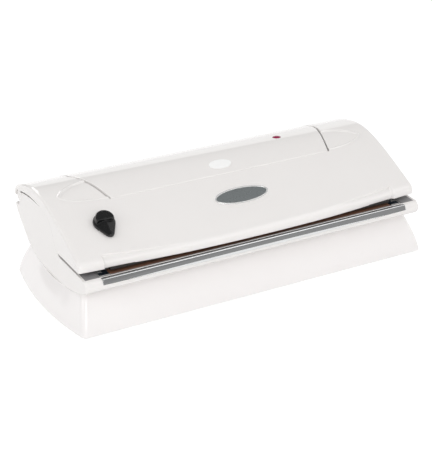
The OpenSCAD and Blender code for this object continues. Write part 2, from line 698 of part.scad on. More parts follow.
// ---- Electrics -----------------------------------------------------------------------
trafo_z = 37;
trafo_y = motor_y - 6;
module trafo_box(w, d, h) translate([-trafo_x - w / 2, trafo_y - d / 2,
    trafo_z + (trafo_h - h) / 2]) cube([w, d, h]);
module transformer_core() color("#6e7074") place() difference() {
    union() {
        trafo_box(trafo_w, trafo_d * 0.6, trafo_h);
        translate([-trafo_x - trafo_w / 2, trafo_y - 14, trafo_z - 2]) cube([trafo_w, 28, 2.5]);
    }
    for (x = [-0.3, 0.3]) translate([-trafo_x + x * trafo_w - trafo_w * 0.09, trafo_y - trafo_d,
        trafo_z + trafo_h * 0.2]) cube([trafo_w * 0.18, 2 * trafo_d, trafo_h * 0.6]);
}
module transformer_coil() color("#b5763b") place() difference() {
    trafo_box(trafo_w * 0.74, trafo_d, trafo_h * 0.56);
    trafo_box(trafo_w * 0.44, trafo_d * 0.6 + 0.4, trafo_h);
    for (s = [-1, 1]) translate([-trafo_x + s * trafo_w * 0.48 - trafo_w * 0.1,
        trafo_y - trafo_d * 0.3 - 0.2, 0]) cube([trafo_w * 0.2, trafo_d * 0.6 + 0.4, far]);
}
board_x = pump_x - 1 - board_len;
board_z = roof_h - 16;
board_t = 1.6;
board_y = motor_y - board_w / 2 - 2;
module board_corners() for (x = [5, board_len - 5], y = [5, board_w - 5])
    translate([board_x + x, board_y + y, board_z]) children();
module circuit_board() color("#2f6b45") place() difference() {
    translate([board_x, board_y, board_z]) cube([board_len, board_w, board_t]);
    board_corners() cylinder(r = screw_r, h = far, center = true);
}
relay = [19, 15, 15];
drive = [10, 18, 12];
can_r = 5;
can_h = 17;
board_post_r = 3;
// Lowest point over a post of the tray that it reaches up to
function tray_under(y) = min(roof_at(y - board_post_r), roof_at(y + board_post_r)) - 1.02 * wall;
module board_parts() color("#31363c") place() {
    translate([board_x + board_len / 6, board_y + board_w / 5, board_z - relay[2]])
        cube(relay - [0, 0, 0.1]);
    translate([board_x + board_len / 2 - 2, board_y + board_w / 4, board_z - drive[2]])
        cube(drive - [0, 0, 0.1]);
    for (x = [0.68, 0.81]) translate([board_x + x * board_len, board_y + board_w / 3,
        board_z - can_h]) cylinder(r = can_r, h = can_h - 0.1);
    for (x = [5, board_len - 5], y = [5, board_w - 5])
        translate([board_x + x, board_y + y, board_z + board_t + 0.05]) cylinder(
            r = board_post_r, h = tray_under(board_y + y) - board_z - board_t - 0.1);
}
switch_top = roof_at(plunger_y) - 12;
plunger_top = roof_at(plunger_y) + plunger_travel + 0.8;
module start_switches() color("#26282b") place() both_sides()
    translate([plunger_x - 10, plunger_y - 3.5, switch_top - 12]) cube([20, 7, 12]);
module start_plunger() place() translate([plunger_x, plunger_y, 0]) {
    translate([0, 0, switch_top + plunger_travel + 0.4])
        cylinder(r = plunger_r, h = plunger_top - switch_top - plunger_travel - 0.4);
    translate([0, 0, roof_at(plunger_y) - 8 - 1.6]) cylinder(r = plunger_r + 1.5, h = 1.4);
}
module start_plunger_right() color("#e9e7e5") start_plunger();
module start_plunger_left() color("#e9e7e5") mirror([1, 0, 0]) start_plunger();

inlet_z = ledge_h - inlet_h - 3;
inlet_face = back_y - 0.5;
inlet_deep = 22;
module inlet_pin_places() for (x = [-4.3, 4.3])
    translate([-inlet_x + x, inlet_face, inlet_z + inlet_h / 2]) rotate([90, 0, 0]) children();
module power_inlet() color("#232325") place() difference() {
    translate([-inlet_x - inlet_w / 2, inlet_face - inlet_deep, inlet_z])
        cube([inlet_w, inlet_deep, inlet_h]);
    hull() inlet_pin_places() translate([0, 0, -1]) cylinder(r = 4.4, h = 13, $fn = 32);
    inlet_pin_places() cylinder(r = 1.21, h = far);
}
module inlet_pins() color("#c9cbce") place() inlet_pin_places()
    translate([0, 0, 2]) cylinder(r = 1.2, h = inlet_deep + 2);

module hinge_pins() color("#bfc2c6") place() both_sides()
    translate([ear_x - ear_w / 2 - knuckle_w - 1.5, hinge_y, hinge_h]) rotate([0, 90, 0])
        cylinder(r = pin_r, h = ear_w + 2 * knuckle_w + 3);

// ---- Crown ---------------------------------------------------------------------------
crown_path = concat(front_path, tail(arc(hinge, hinge_r, roll_deg, 0, 8)),
    [[back_y - 0.3, hinge_h - 2], [back_y, hinge_h - 4], [back_y, ledge_h + fit_gap]]);
crown_low = concat([[shut_y - 20, deck_h]], lift(deck_path, 0, fit_gap),
    [[roof_back_y + fit_gap, ledge_h + fit_gap]]);
module crown_solid() intersection() {
    along_x(crown_back_half) polygon(concat(crown_path, reverse(crown_low)));
    crown_plan();
    along_x(far) translate(hinge) circle(r = shut_r - move_gap / 3, $fn = 120);
}
// The hollow inside the crown runs down past its lower edge.
module crown_hollow() intersection() {
    along_x(crown_back_half - lid_wall) polygon(concat(inset(crown_path, lid_wall),
        [[back_y - lid_wall, ledge_h - 5], [shut_y - 20, ledge_h - 5]]));
    crown_plan(-lid_wall);
    along_x(far) translate(hinge) circle(r = shut_r - lid_wall, $fn = 120);
}
module crown_screw_places() for (x = (crown_half - 14) * [-1, 1], y = [100, 138])
    translate([x, y, roof_at(y)]) children();
module crown() color("#efedec") place() difference() {
    union() {
        difference() {
            crown_solid();
            crown_hollow();
        }
        intersection() {
            crown_screw_places() translate([0, 0, fit_gap]) cylinder(r = boss_out_r, h = far);
            crown_solid();
        }
    }
    crown_screw_places() translate([0, 0, -1]) cylinder(r = screw_r - 0.1, h = 8);
    on_top(led_x, led_y, lid_wall + 5) cylinder(r = led_r + 0.1, h = 20);
    on_top(plate_x, badge_y, plate_sink) linear_extrude(5) polygon(oval(badge_a + 0.15,
        badge_b + 0.15));
}
module crown_screws() color("#b9bcc0") place() crown_screw_places() {
    translate([0, 0, -wall - 1.7]) cylinder(r = 2 * screw_r, h = 1.2);
    translate([0, 0, -wall - 0.6]) cylinder(r = screw_r - 0.15, h = wall + 6);
}
module signal_lens() color("#b3224f") place() on_top(led_x, led_y) {
    translate([0, 0, -lid_wall - 1]) cylinder(r = led_r, h = lid_wall + 1.4);
    translate([0, 0, 0.4 - eps]) intersection() {
        translate([0, 0, -led_r * 1.4]) sphere(r = led_r * 1.72);
        cylinder(r = led_r, h = 3);
    }
}
module signal_board() color("#2f6b45") place() on_top(led_x, led_y, lid_wall + 1.3) {
    translate([-9, -7, -1.6]) cube([18, 14, 1.5]);
}
module crown_badge() color("#ffffff") place() on_top(plate_x, badge_y, plate_sink - eps)
    linear_extrude(plate_t) polygon(oval(badge_a, badge_b));

// ---- Lid -----------------------------------------------------------------------------
// Lower edge of the lid: clears the deck and roof when the lid is pressed down.
function press_lift(y) = 0.5 + max(hinge_y - y, 0) * drop_per_mm;
lid_low_path = concat([[face_start[0] - 5, lid_low], [rise_y - 8, lid_low]],
    [for (q = deck_path) if (q[1] > lid_low - 1.5) q + [-0.4, press_lift(q[0])]],
    arc(hinge, ring_in_r, boss_deg - 5, skirt_deg, 12));
module lid_arms_cut(gap) intersection() {
    crown_plan(gap);
    along_x(far) translate(hinge) circle(r = shut_r + move_gap / 3, $fn = 120);
}
module lid_hollow() intersection() {
    along_x(far / 2) polygon(concat(inset(top_path, lid_wall),
        [[hinge_y + hinge_in_r, 40], [face_start[0] + lid_wall, 40]]));
    lid_plan(lid_wall);
}
module above_skin(depth) along_x(far / 2) polygon(concat(
    inset(front_path, depth), [[back_y, far], [face_start[0], far]]));
// Finger rests: half a leaf in plan, open to the gap beside the crown.
module arm_rests() both_sides() intersection() {
    above_skin(rest_deep);
    translate([crown_half, shut_y, -eps]) linear_extrude(far) polygon(concat(
        bez([0, rest_front], [0.6 * rest_long, rest_front], [0.92 * rest_long, rest_tip / 2],
            [rest_long, rest_tip], 8),
        tail(bez([rest_long, rest_tip], [0.84 * rest_long, 0.78 * rest_back],
            [0.49 * rest_long, 0.97 * rest_back], [0.2 * rest_long, rest_back], 8))));
}
// Finger ledges: the face is let in along the front edge, deeper towards each end.
module finger_ledges() both_sides() intersection() {
    translate([ledge_in, 0, 0]) rotate([0, 0, -atan(ledge_deep
        / sin(slope_at(lip_y + 8)) / (ledge_out - ledge_in))]) above_skin(0);
    translate([0, 0, -eps]) linear_extrude(far) polygon([[ledge_in, lip_y - 9],
        [ledge_out, lip_y - 9], [ledge_out, lip_y + 8], [ledge_in, lip_y + 4]]);
}
module lid_knuckles() both_sides() for (x = [ear_x - ear_w / 2 - 1 - knuckle_w,
    ear_x + ear_w / 2 + 1]) {
    translate([x, hinge_y, hinge_h]) rotate([0, 90, 0]) cylinder(r = ear_r, h = knuckle_w);
    translate([x, hinge_y, hinge_h]) rotate([20, 0, 0])
        translate([0, -ear_r / 2, (pin_r + ear_r) / 2]) cube([knuckle_w, ear_r + 1, hinge_in_r]);
}
rib_low = plunger_top + press_lift(plunger_y) + 1;   // rib that presses a start plunger
module lid_shell() color("#f2f0ef") place() difference() {
    union() {
        difference() {
            intersection() {
                along_x(lid_half) polygon(concat(top_path, reverse(lid_low_path)));
                lid_plan();
            }
            lid_hollow();
            lid_arms_cut(arm_gap);
        }
        intersection() {
            union() {
                lid_knuckles();
                for (x = liner_boss_x) translate([x, liner_boss_y, liner_top + 0.1])
                    cylinder(r = boss_out_r, h = far);
                both_sides() translate([plunger_x, plunger_y, rib_low])
                    cylinder(r = boss_out_r, h = far);
            }
            along_x(far / 2) polygon(concat(inset(top_path, lid_wall / 2),
                [[hinge_y + hinge_in_r, 40], [face_start[0] + lid_wall, 40]]));
        }
    }
    for (x = liner_boss_x) translate([x, liner_boss_y, 0]) cylinder(r = screw_r - 0.1,
        h = liner_top + 9);
    translate([-far / 2, hinge_y, hinge_h]) rotate([0, 90, 0])
        cylinder(r = pin_r + pin_gap, h = far);
    on_top(-knob_x, knob_y, 20) cylinder(r = spindle_r + 1, h = 40);
    on_top(plate_x, plate_y, plate_sink) linear_extrude(5)
        polygon(oval(plate_a + 0.15, plate_b + 0.15));
    arm_rests();
    finger_ledges();
}
module lid_liner() color("#e4e2e0") place() difference() {
    translate([-liner_half, liner_front, liner_low])
        cube([2 * liner_half, liner_back - liner_front, liner_t]);
    translate([-heat_half, stem_y - 0.1, liner_low - 1])
        cube([2 * heat_half, stem_w + 0.2, 1 + liner_t / 2]);
    gasket_ring(liner_low - eps, liner_t / 2, gasket_w + 0.2);
    for (x = liner_boss_x) translate([x, liner_boss_y, 0]) cylinder(r = screw_r + 0.2, h = far);
    translate([-knob_x, vent_y, 0]) cylinder(r = hose_bore_r, h = far);
}
module liner_screws() color("#b9bcc0") place() for (x = liner_boss_x)
    translate([x, liner_boss_y, liner_low - 1.3]) {
        cylinder(r = 2 * screw_r, h = 1.25);
        cylinder(r = screw_r - 0.15, h = liner_t + 9);
    }
module upper_gasket() color("#3a3a3c") place() gasket_ring(gasket_top + 0.4,
    liner_low + liner_t / 2 - gasket_top - 0.45);
// The strip's pad lies under the lid's front edge and its stem sits in the liner.
module press_strip() color("#c8452e") place() {
    translate([1 - heat_half, stem_y + stem_w - pad_w, strip_low])
        cube([2 * heat_half - 2, pad_w, lid_low - 0.1 - strip_low]);
    translate([1 - heat_half, stem_y, strip_low])
        cube([2 * heat_half - 2, stem_w, liner_low + liner_t / 2 - strip_low - 0.05]);
}
module name_plate() color("#8b9494") place() on_top(plate_x, plate_y, plate_sink - eps)
    linear_extrude(plate_t) polygon(oval(plate_a - rim_w - 0.02, plate_b - rim_w - 0.02));
module name_plate_rim() color("#e8e6e2") place() on_top(plate_x, plate_y, plate_sink - eps)
    linear_extrude(plate_t + 0.5) difference() {
        polygon(oval(plate_a, plate_b));
        polygon(oval(plate_a - rim_w, plate_b - rim_w));
    }

// ---- Vacuum valve --------------------------------------------------------------------
valve_cap = lid_wall + 0.3;                         // the valve body starts under the lid
vent_y = min(knob_y + (valve_cap + valve_len) * sin(knob_tilt) * 0.35, gasket_back - 10);
module valve_body() color("#d9d7d4") place() difference() {
    union() {
        on_top(-knob_x, knob_y, valve_cap + valve_len) cylinder(r = 8, h = valve_len);
        translate([-knob_x, vent_y, liner_top + 0.1])
            cylinder(r = hose_r, h = top_at(knob_y) - valve_cap - liner_top - 5);
    }
    on_top(-knob_x, knob_y, valve_cap + valve_len - 2) cylinder(r = valve_bore_r, h = far);
    on_top(-knob_x, knob_y, valve_cap + 6.2) cylinder(r = spindle_r + 1.9, h = 2.2);
    translate([-knob_x, vent_y, 0]) cylinder(r = hose_bore_r - 0.7,
        h = top_at(knob_y) - valve_cap - valve_len * 0.6);
}
module valve_spindle() color("#c9cbce") place() difference() {
    on_top(-knob_x, knob_y, valve_cap + valve_len - 2.5)
        cylinder(r = spindle_r, h = valve_cap + valve_len - 2.5 + knob_base_h - 1);
    // Groove for the ring seal
    on_top(-knob_x, knob_y, valve_cap + 6) difference() {
        cylinder(r = spindle_r + 1, h = 1.8);
        translate([0, 0, -1]) cylinder(r = spindle_r - 0.8, h = 4);
    }
}
module valve_o_ring() color("#1d1d1f") place() on_top(-knob_x, knob_y, valve_cap + 5.1)
    rotate_extrude() translate([spindle_r + 0.1, 0]) circle(r = 0.75, $fn = 24);
knob_lift = 0.5;                                    // gap under the knob
module valve_knob() color("#1c1c1f") place() on_top(-knob_x, knob_y, -knob_lift)
    difference() {
        union() {
            cylinder(r = knob_r, h = knob_base_h);
            hull() {
                translate([0, 1, 0]) cylinder(r = knob_r - 1.5, h = knob_base_h + grip_h - 1,
                    $fn = 32);
                translate([0, 1, 0]) cylinder(r = knob_r - 3, h = knob_base_h + grip_h,
                    $fn = 32);
            }
            hull() {
                translate([0, -pointer_reach + 2.5, 0]) cylinder(r = 2.5, h = knob_base_h,
                    $fn = 24);
                cylinder(r = knob_r - 2, h = knob_base_h, $fn = 32);
                translate([0, -2, 0]) cylinder(r = 2.5, h = knob_base_h + grip_h - 0.5,
                    $fn = 24);
            }
        }
        translate([0, 0, -eps]) cylinder(r = spindle_r + 0.01, h = knob_base_h - 1.4);
    }

pedestal();
bottom_plate();
rubber_feet();
base_screws();
tub_shell();
deck_tray();
chrome_trim();
seal_bar();
heating_ribbon();
release_tape();
bar_end_blocks();
bar_clips();
bar_springs();
lower_gasket();
vacuum_port();
air_hose();
pump_head();
motor_can();
motor_mount();
motor_rotor();
cooling_fan();
transformer_core();
transformer_coil();
circuit_board();
board_parts();
start_switches();
start_plunger_left();
start_plunger_right();
hinge_pins();
crown();
crown_screws();
signal_lens();
signal_board();
crown_badge();
power_inlet();
inlet_pins();
lid_shell();
lid_liner();
liner_screws();
upper_gasket();
press_strip();
name_plate();
name_plate_rim();
valve_body();
valve_knob();
valve_spindle();
valve_o_ring();
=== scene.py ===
import math

import bmesh
import bpy
import numpy as np
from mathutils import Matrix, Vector


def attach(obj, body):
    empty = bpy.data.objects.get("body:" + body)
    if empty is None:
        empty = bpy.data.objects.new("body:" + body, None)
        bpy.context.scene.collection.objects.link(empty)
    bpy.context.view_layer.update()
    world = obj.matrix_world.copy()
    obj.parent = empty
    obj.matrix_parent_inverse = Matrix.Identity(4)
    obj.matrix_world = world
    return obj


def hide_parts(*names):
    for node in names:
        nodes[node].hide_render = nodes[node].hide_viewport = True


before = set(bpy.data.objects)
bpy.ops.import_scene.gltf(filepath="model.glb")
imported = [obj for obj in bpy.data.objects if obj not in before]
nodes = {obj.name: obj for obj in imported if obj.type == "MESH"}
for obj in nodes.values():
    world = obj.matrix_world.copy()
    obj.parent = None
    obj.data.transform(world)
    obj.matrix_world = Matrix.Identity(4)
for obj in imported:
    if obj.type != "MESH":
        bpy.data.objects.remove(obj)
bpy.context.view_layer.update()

# Side sections are drawn in millimetres as (y, z): y runs back from the pedestal's front foot
# line and z up from the table. The frame's origin is under the middle of the footprint.
FOOT_LINE_TO_MIDDLE = 84.0


# Pedestal: a hollow foot moulded in one piece from gloss white ABS, open below. Its sides
# flare from a narrow rim under the tub to a wide foot, and its ends are bowed in plan.


def bezier(a, b, c, d, steps):
    t = np.linspace(0, 1, steps + 1)[:, None]
    a, b, c, d = (np.asarray(p, float) for p in (a, b, c, d))
    return (1 - t) ** 3 * a + 3 * (1 - t) ** 2 * t * b + 3 * (1 - t) * t**2 * c + t**3 * d


def arc(centre, radius, start, end, steps):
    angle = np.radians(np.linspace(start, end, steps + 1))
    return np.asarray(centre, float) + radius * np.c_[np.cos(angle), np.sin(angle)]


def chain(*runs):
    """One path from several that meet end to end."""
    return np.vstack([runs[0]] + [run[1:] for run in runs[1:]])


def walked_along(path):
    """Distance walked along a path at each of its points."""
    return np.r_[0, np.cumsum(np.linalg.norm(np.diff(path, axis=0), axis=1))]


def points_at(path, distances):
    """The path's points at distances along it."""
    walked = walked_along(path)
    return np.c_[tuple(np.interp(distances, walked, line) for line in path.T)]


def spaced(path, steps):
    """The path's points at equal steps along it."""
    return points_at(path, np.linspace(0, walked_along(path)[-1], steps + 1))


def at_x(x, path):
    """A side section set at x across the machine."""
    return np.c_[np.broadcast_to(x, len(path)), path]


def left_of(path):
    """Unit normals on the left of a path's direction."""
    along = np.gradient(path, axis=0)
    along /= np.linalg.norm(along, axis=1)[:, None]
    return np.c_[-along[:, 1], along[:, 0]]


def linear(code):
    """Linear colour of an sRGB hex code."""
    parts = [int(code[k : k + 2], 16) / 255 for k in (1, 3, 5)]
    return tuple(p / 12.92 if p <= 0.04045 else ((p + 0.055) / 1.055) ** 2.4 for p in parts) + (1,)


def add_node(tree, kind, settings=(), links=()):
    """Adds a node, sets what settings names on it or its sockets, and links sockets to it."""
    made = tree.nodes.new("ShaderNode" + kind)
    for name, value in dict(settings).items():
        if isinstance(name, str) and hasattr(made, name):
            setattr(made, name, value)
        else:
            made.inputs[name].default_value = value
    for name, source in dict(links).items():
        tree.links.new(source, made.inputs[name])
    return made


def begin_material(name, **settings):
    """A material with a Principled shader, and its node tree."""
    material = bpy.data.materials.new(name)
    material.use_nodes = True
    shader = material.node_tree.nodes["Principled BSDF"]
    for socket, value in settings.items():
        shader.inputs[socket.replace("_", " ")].default_value = value
    return material, material.node_tree, shader


def add_relief(tree, shader, height, depth_mm):
    """Bump of a real depth from a pattern's socket."""
    bump = add_node(tree, "Bump", {"Strength": 1.0, "Distance": depth_mm / 1000},
                    {"Height": height})
    tree.links.new(bump.outputs[0], shader.inputs["Normal"])


def add_bands(tree, place, gap_mm, **settings):
    """Soft parallel bands that lie gap_mm apart."""
    scale = 2 * math.pi / 20 * 1000 / gap_mm
    return add_node(tree, "TexWave", {"Scale": scale, **settings}, {"Vector": place})


def finish(name, code, shade, rough, patch_mm, grain_mm, grain_depth_mm, **settings):
    """A material whose colour and roughness drift over patches, with a fine grain in relief."""
    material, tree, shader = begin_material(name, **settings)
    place = {"Vector": add_node(tree, "TexCoord").outputs["Object"]}
    patch = add_node(tree, "TexNoise", {"Scale": 1000 / patch_mm, "Detail": 3.0}, place)
    tone = add_node(tree, "Mix", {"data_type": "RGBA", 6: linear(code), 7: linear(shade)},
                    {0: patch.outputs["Fac"]})
    tree.links.new(tone.outputs[2], shader.inputs["Base Color"])
    drift = add_node(tree, "MapRange", {"From Min": 0.3, "From Max": 0.7, "To Min": rough[0],
                                        "To Max": rough[1]}, {"Value": patch.outputs["Fac"]})
    tree.links.new(drift.outputs[0], shader.inputs["Roughness"])
    grain = add_node(tree, "TexNoise", {"Scale": 1000 / grain_mm, "Detail": 2.0}, place)
    add_relief(tree, shader, grain.outputs["Fac"], grain_depth_mm)
    return material


def dress(material, *names):
    """Gives solids of the frame their finish."""
    for name in names:
        for held in nodes[name].material_slots:
            held.material = material


def mesh_piece(name, points_mm, faces, material, body, slot):
    """A smooth-shaded piece from points in side-section millimetres that rides on a body."""
    mesh = bpy.data.meshes.new(name)
    placed = (np.asarray(points_mm, float) - (0, FOOT_LINE_TO_MIDDLE, 0)) / 1000
    mesh.from_pydata(placed.tolist(), [], faces)
    mesh.validate()
    shape = bmesh.new()
    shape.from_mesh(mesh)
    bmesh.ops.recalc_face_normals(shape, faces=shape.faces)
    shape.to_mesh(mesh)
    shape.free()
    mesh.shade_smooth()
    # Large faces lead the shading, so flat faces stay flat right up to their rounded edges
    lean = np.zeros((len(mesh.vertices), 3))
    for face in mesh.polygons:
        lean[list(face.vertices)] += np.array(face.normal) * face.area
    lean /= np.maximum(np.linalg.norm(lean, axis=1), 1e-15)[:, None]
    mesh.normals_split_custom_set_from_vertices(lean.tolist())
    mesh.materials.append(material)
    piece = bpy.data.objects.new(name, mesh)
    bpy.context.scene.collection.objects.link(piece)
    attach(piece, body)
    return piece


def rounded_sheet(grid, wall, edge, keep=None, looped=False, turns=4):
    """Points and faces of a moulded sheet with an even wall and rounded edges.

    grid holds the outer skin as rows by columns of points, keep says which of its cells are
    there, and looped joins the last column to the first. The outside is on the side that the
    turn from a row's direction to a column's direction points to."""
    rows, cols = grid.shape[:2]
    last = cols if looped else cols - 1
    there = np.ones((rows - 1, last), bool) if keep is None else keep
    quads = np.array([(i * cols + j, (i + 1) * cols + j, (i + 1) * cols + (j + 1) % cols,
                       i * cols + (j + 1) % cols) for i, j in zip(*np.nonzero(there))])
    used, quads = np.unique(quads, return_inverse=True)
    quads = quads.reshape(-1, 4)
    skin = grid.reshape(-1, 3)[used].astype(float)
    across = np.cross(skin[quads[:, 2]] - skin[quads[:, 0]], skin[quads[:, 3]] - skin[quads[:, 1]])
    normal = np.zeros_like(skin)
    for k in range(4):
        np.add.at(normal, quads[:, k], across)
    normal /= np.maximum(np.linalg.norm(normal, axis=1), 1e-12)[:, None]
    # Rim: each boundary point with the way out of the sheet at it
    sides = {side: True for quad in quads.tolist() for side in zip(quad, quad[1:] + quad[:1])}
    after = {a: b for a, b in sides if (b, a) not in sides}
    before = {b: a for a, b in after.items()}
    rim = sorted(after)

    def way_out(a, b):
        out = np.cross(skin[b] - skin[a], normal[a] + normal[b])
        return out / max(np.linalg.norm(out), 1e-12)

    outward = np.zeros_like(skin)
    for a in rim:
        one, two = way_out(before[a], a), way_out(a, after[a])
        both = (one + two) / max(1 + one @ two, 0.35)
        outward[a] = both - normal[a] * (both @ normal[a])
    skin -= edge * outward
    turn = np.linspace(0, math.pi / 2, turns + 1)
    profile = [(edge * math.sin(a), edge * (1 - math.cos(a))) for a in turn[1:]]
    profile += [(edge * math.cos(a), wall - edge + edge * math.sin(a)) for a in turn[:-1]]
    count = len(skin)
    points = [skin, skin - wall * normal]
    faces = quads.tolist() + (quads[:, ::-1] + count).tolist()
    place = {a: k for k, a in enumerate(rim)}
    rim_skin, rim_out, rim_normal = skin[rim], outward[rim], normal[rim]
    rings = [list(rim)]
    for out, down in profile:
        rings.append([2 * count + (len(rings) - 1) * len(rim) + k for k in range(len(rim))])
        points.append(rim_skin + out * rim_out - down * rim_normal)
    rings.append([a + count for a in rim])
    for upper, lower in zip(rings[:-1], rings[1:]):
        for a in rim:
            k, m = place[a], place[after[a]]
            faces.append([upper[m], upper[k], lower[k], lower[m]])
    return np.vstack(points), faces


# Underside of the tub, which the pedestal's rim follows
NOSE_CENTRE, NOSE_R = (4.5, 50.0), 6.5
nose_turn = arc(NOSE_CENTRE, NOSE_R, 90, 236, 40)
keel_front = bezier(nose_turn[-1], nose_turn[-1] + (19, -11.6), (55, 27), (87, 27), 60)
keel_back = bezier((87, 27), (118, 27), (137, 33), (150, 46), 48)
heel = bezier((150, 46), (158, 54), (170, 60.5), (170, 71.5), 30)
underside = chain(keel_front, keel_back, heel)

SHELL_WALL = 2.5
TUB_END, TUB_CORNER_R = 187.0, 1.8
RIM_HALF, RIM_BULGE, RIM_FRONT, RIM_BACK, RIM_GAP = 184.0, 4.0, 17.0, 143.0, 0.1
PLAN_CORNER_R = 6.0
# How much further out the foot stands than the rim, and its height over the table
FOOT_OUT, FOOT_BULGE, FOOT_FORWARD, FOOT_BACKWARD, FOOT_Z = 9.0, 4.0, 19.5, 20.0, 0.6


def bowed_plan(half, bulge, front, back, corner, along=59, across=47, turn=12):
    """Points round the pedestal in plan, the ends bowed and the corners rounded."""
    x = np.linspace(-half + corner, half - corner, along + 2)[1:-1]
    y = np.linspace(front + corner, back - corner, across + 2)[1:-1]
    u = np.linspace(-1, 1, across + 2)[1:-1]
    bow = np.c_[half + bulge * (1 - u * u), y]
    return np.vstack([np.c_[x, np.full(along, front)],
                      arc((half - corner, front + corner), corner, 270, 360, turn), bow,
                      arc((half - corner, back - corner), corner, 0, 90, turn),
                      np.c_[x[::-1], np.full(along, back)],
                      arc((-half + corner, back - corner), corner, 90, 180, turn),
                      bow[::-1] * (-1, 1),
                      arc((-half + corner, front + corner), corner, 180, 270, turn)])


def pedestal_rings(count):
    """Rings of the pedestal from its rim down to its foot."""
    top = bowed_plan(RIM_HALF, RIM_BULGE, RIM_FRONT, RIM_BACK, PLAN_CORNER_R)
    rim_z = np.interp(top[:, 1], underside[:, 0], underside[:, 1]) - RIM_GAP
    over = np.clip(abs(top[:, 0]) - TUB_END + TUB_CORNER_R, 0, TUB_CORNER_R)
    rim_z += TUB_CORNER_R - np.sqrt(TUB_CORNER_R**2 - over**2)
    rings = []
    for s in np.linspace(0, 1, count):
        flare = (s + math.sin(math.pi / 2 * s)) / 2
        plan = bowed_plan(RIM_HALF + FOOT_OUT * flare, RIM_BULGE + FOOT_BULGE * flare,
                          RIM_FRONT - FOOT_FORWARD * flare, RIM_BACK + FOOT_BACKWARD * flare,
                          PLAN_CORNER_R)
        rings.append(np.c_[plan, rim_z * (1 - s) + FOOT_Z * s])
    return np.array(rings)


# Gloss ABS from a polished mould: clear reflections with a barely visible orange peel
white_abs = finish("Gloss_white_ABS", "#F0EDEB", "#EEEBE9", (0.05, 0.09), 30, 5, 0.0015, IOR=1.54)
# The pedestal gets a lighter copy of the same plastic: painted light, standing in for the extra
# light that its flared, upward-facing sides catch
painted_light_abs = finish("Painted_light_white_ABS", "#F6F3F2", "#F4F1F0", (0.06, 0.1), 30, 5, 0.0015, IOR=1.54)
pedestal_points, pedestal_faces = rounded_sheet(pedestal_rings(36), SHELL_WALL, edge=0.5,
                                                 looped=True)
pedestal = mesh_piece("pedestal_moulding", pedestal_points, pedestal_faces, painted_light_abs,
                      "base", "white_abs")
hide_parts("pedestal")


# Underside: a flat ABS plate closes the pedestal, held by four zinc-plated screws, and the
# machine stands on four moulded rubber feet pressed into it.
# Satin ABS: an eroded mould leaves a fine even grain that breaks up the highlight
base_abs = finish("Satin_white_ABS", "#E6E4E2", "#E1DFDD", (0.32, 0.42), 20, 0.6, 0.012, IOR=1.54)
# Zinc-plated steel: bright with a faint blue cast and a patchy dullness
zinc_steel = finish("Zinc_plated_steel", "#C6C9CC", "#B4B8BE", (0.25, 0.45), 1.5, 0.3, 0.004,
                    Metallic=1.0)
# Moulded rubber: dull, near black, slightly greyed by dust
foot_rubber = finish("Moulded_rubber", "#2A2A2B", "#343332", (0.65, 0.85), 3, 0.4, 0.02, IOR=1.52)
dress(base_abs, "bottom_plate")
dress(zinc_steel, "base_screws")
dress(foot_rubber, "rubber_feet")


# Tub: the long body in gloss white ABS, moulded with its end faces in one piece. Its round
# nose carries the deck's front edge and its keel stands on the pedestal's rim.
HINGE = np.array((158.0, 82.5))
DECK_FRONT_Y, DECK_Z, DECK_BACK_Y = 9.0, 56.5, 58.0
TUB_NECK, LEDGE_FRONT_Y, LEDGE_BACK_Y, LEDGE_Z = (157.5, 86.0), 161.8, 166.5, 71.5
INLET_EDGES_X, INLET_EDGES_Z = (-112.3, -87.7), (55.2, 68.8)


def smooth_step(value, low, high):
    t = np.clip((value - low) / (high - low), 0, 1)
    return t * t * (3 - 2 * t)


rise = bezier((DECK_BACK_Y, DECK_Z), (72, 57.5), (70, 84), (88, 89), 40)
roof = bezier((88, 89), (100, 92.5), (127.8, 93), (149.8, 88.5), 40)
deck_line = chain(rise, roof)


def roof_at(y):
    return np.interp(y, deck_line[:, 0], deck_line[:, 1], left=DECK_Z)


def tub_top_edge():
    """Top edge of the tub's end faces, with as many points as the hull."""
    runs = [((7.5, 56.35), (DECK_FRONT_Y, DECK_Z)), ((DECK_FRONT_Y, DECK_Z), *rise),
            (*roof, TUB_NECK), (TUB_NECK, (LEDGE_FRONT_Y, LEDGE_Z)),
            ((LEDGE_FRONT_Y, LEDGE_Z), (LEDGE_BACK_Y, LEDGE_Z))]
    return chain(*[spaced(np.array(run), steps) for run, steps in zip(runs, (40, 60, 48, 15, 15))])


def tub_grid():
    """Rows run from the nose round the keel to the rear ledge, columns from end to end."""
    hull = chain(nose_turn, underside)
    inlet_rows = []
    for z in INLET_EDGES_Z:
        inlet_rows.append(len(hull) - len(heel) + int(np.argmin(abs(heel[:, 1] - z))))
        hull[inlet_rows[-1]] = (np.interp(z, heel[:, 1], heel[:, 0]), z)
    inward, rows = left_of(hull), np.arange(len(hull))
    # The corner's radius fades out towards both ends of the hull's line
    radius = TUB_CORNER_R * (0.17 + 0.83 * smooth_step(np.minimum(rows, rows[::-1]), 0, 12))
    flank, top_edge = hull + inward * radius[:, None], tub_top_edge()
    # A column close to the top edge keeps the flat face's shading clear of its rounding
    near = np.clip(1.2 / np.linalg.norm(flank - top_edge, axis=1), 0.03, 0.4)[:, None]
    sides = [at_x(TUB_END, top_edge + (flank - top_edge) * share)
             for share in (0, near, (1 + near) / 2, 0.97)]
    for turned in np.linspace(math.pi / 2, 0, 7):
        sides.append(at_x(TUB_END - radius * (1 - math.sin(turned)),
                          hull + inward * (radius * (1 - math.cos(turned)))[:, None]))
    middle = [at_x(x, hull) for x in (-150.0, *INLET_EDGES_X, -30, 30, 90, 150)]
    left = [side * (-1, 1, 1) for side in sides]
    grid = np.stack(left + middle + sides[::-1], 1)
    keep = np.ones((grid.shape[0] - 1, grid.shape[1] - 1), bool)
    keep[slice(*inlet_rows), len(sides) + 1] = False
    return grid, keep


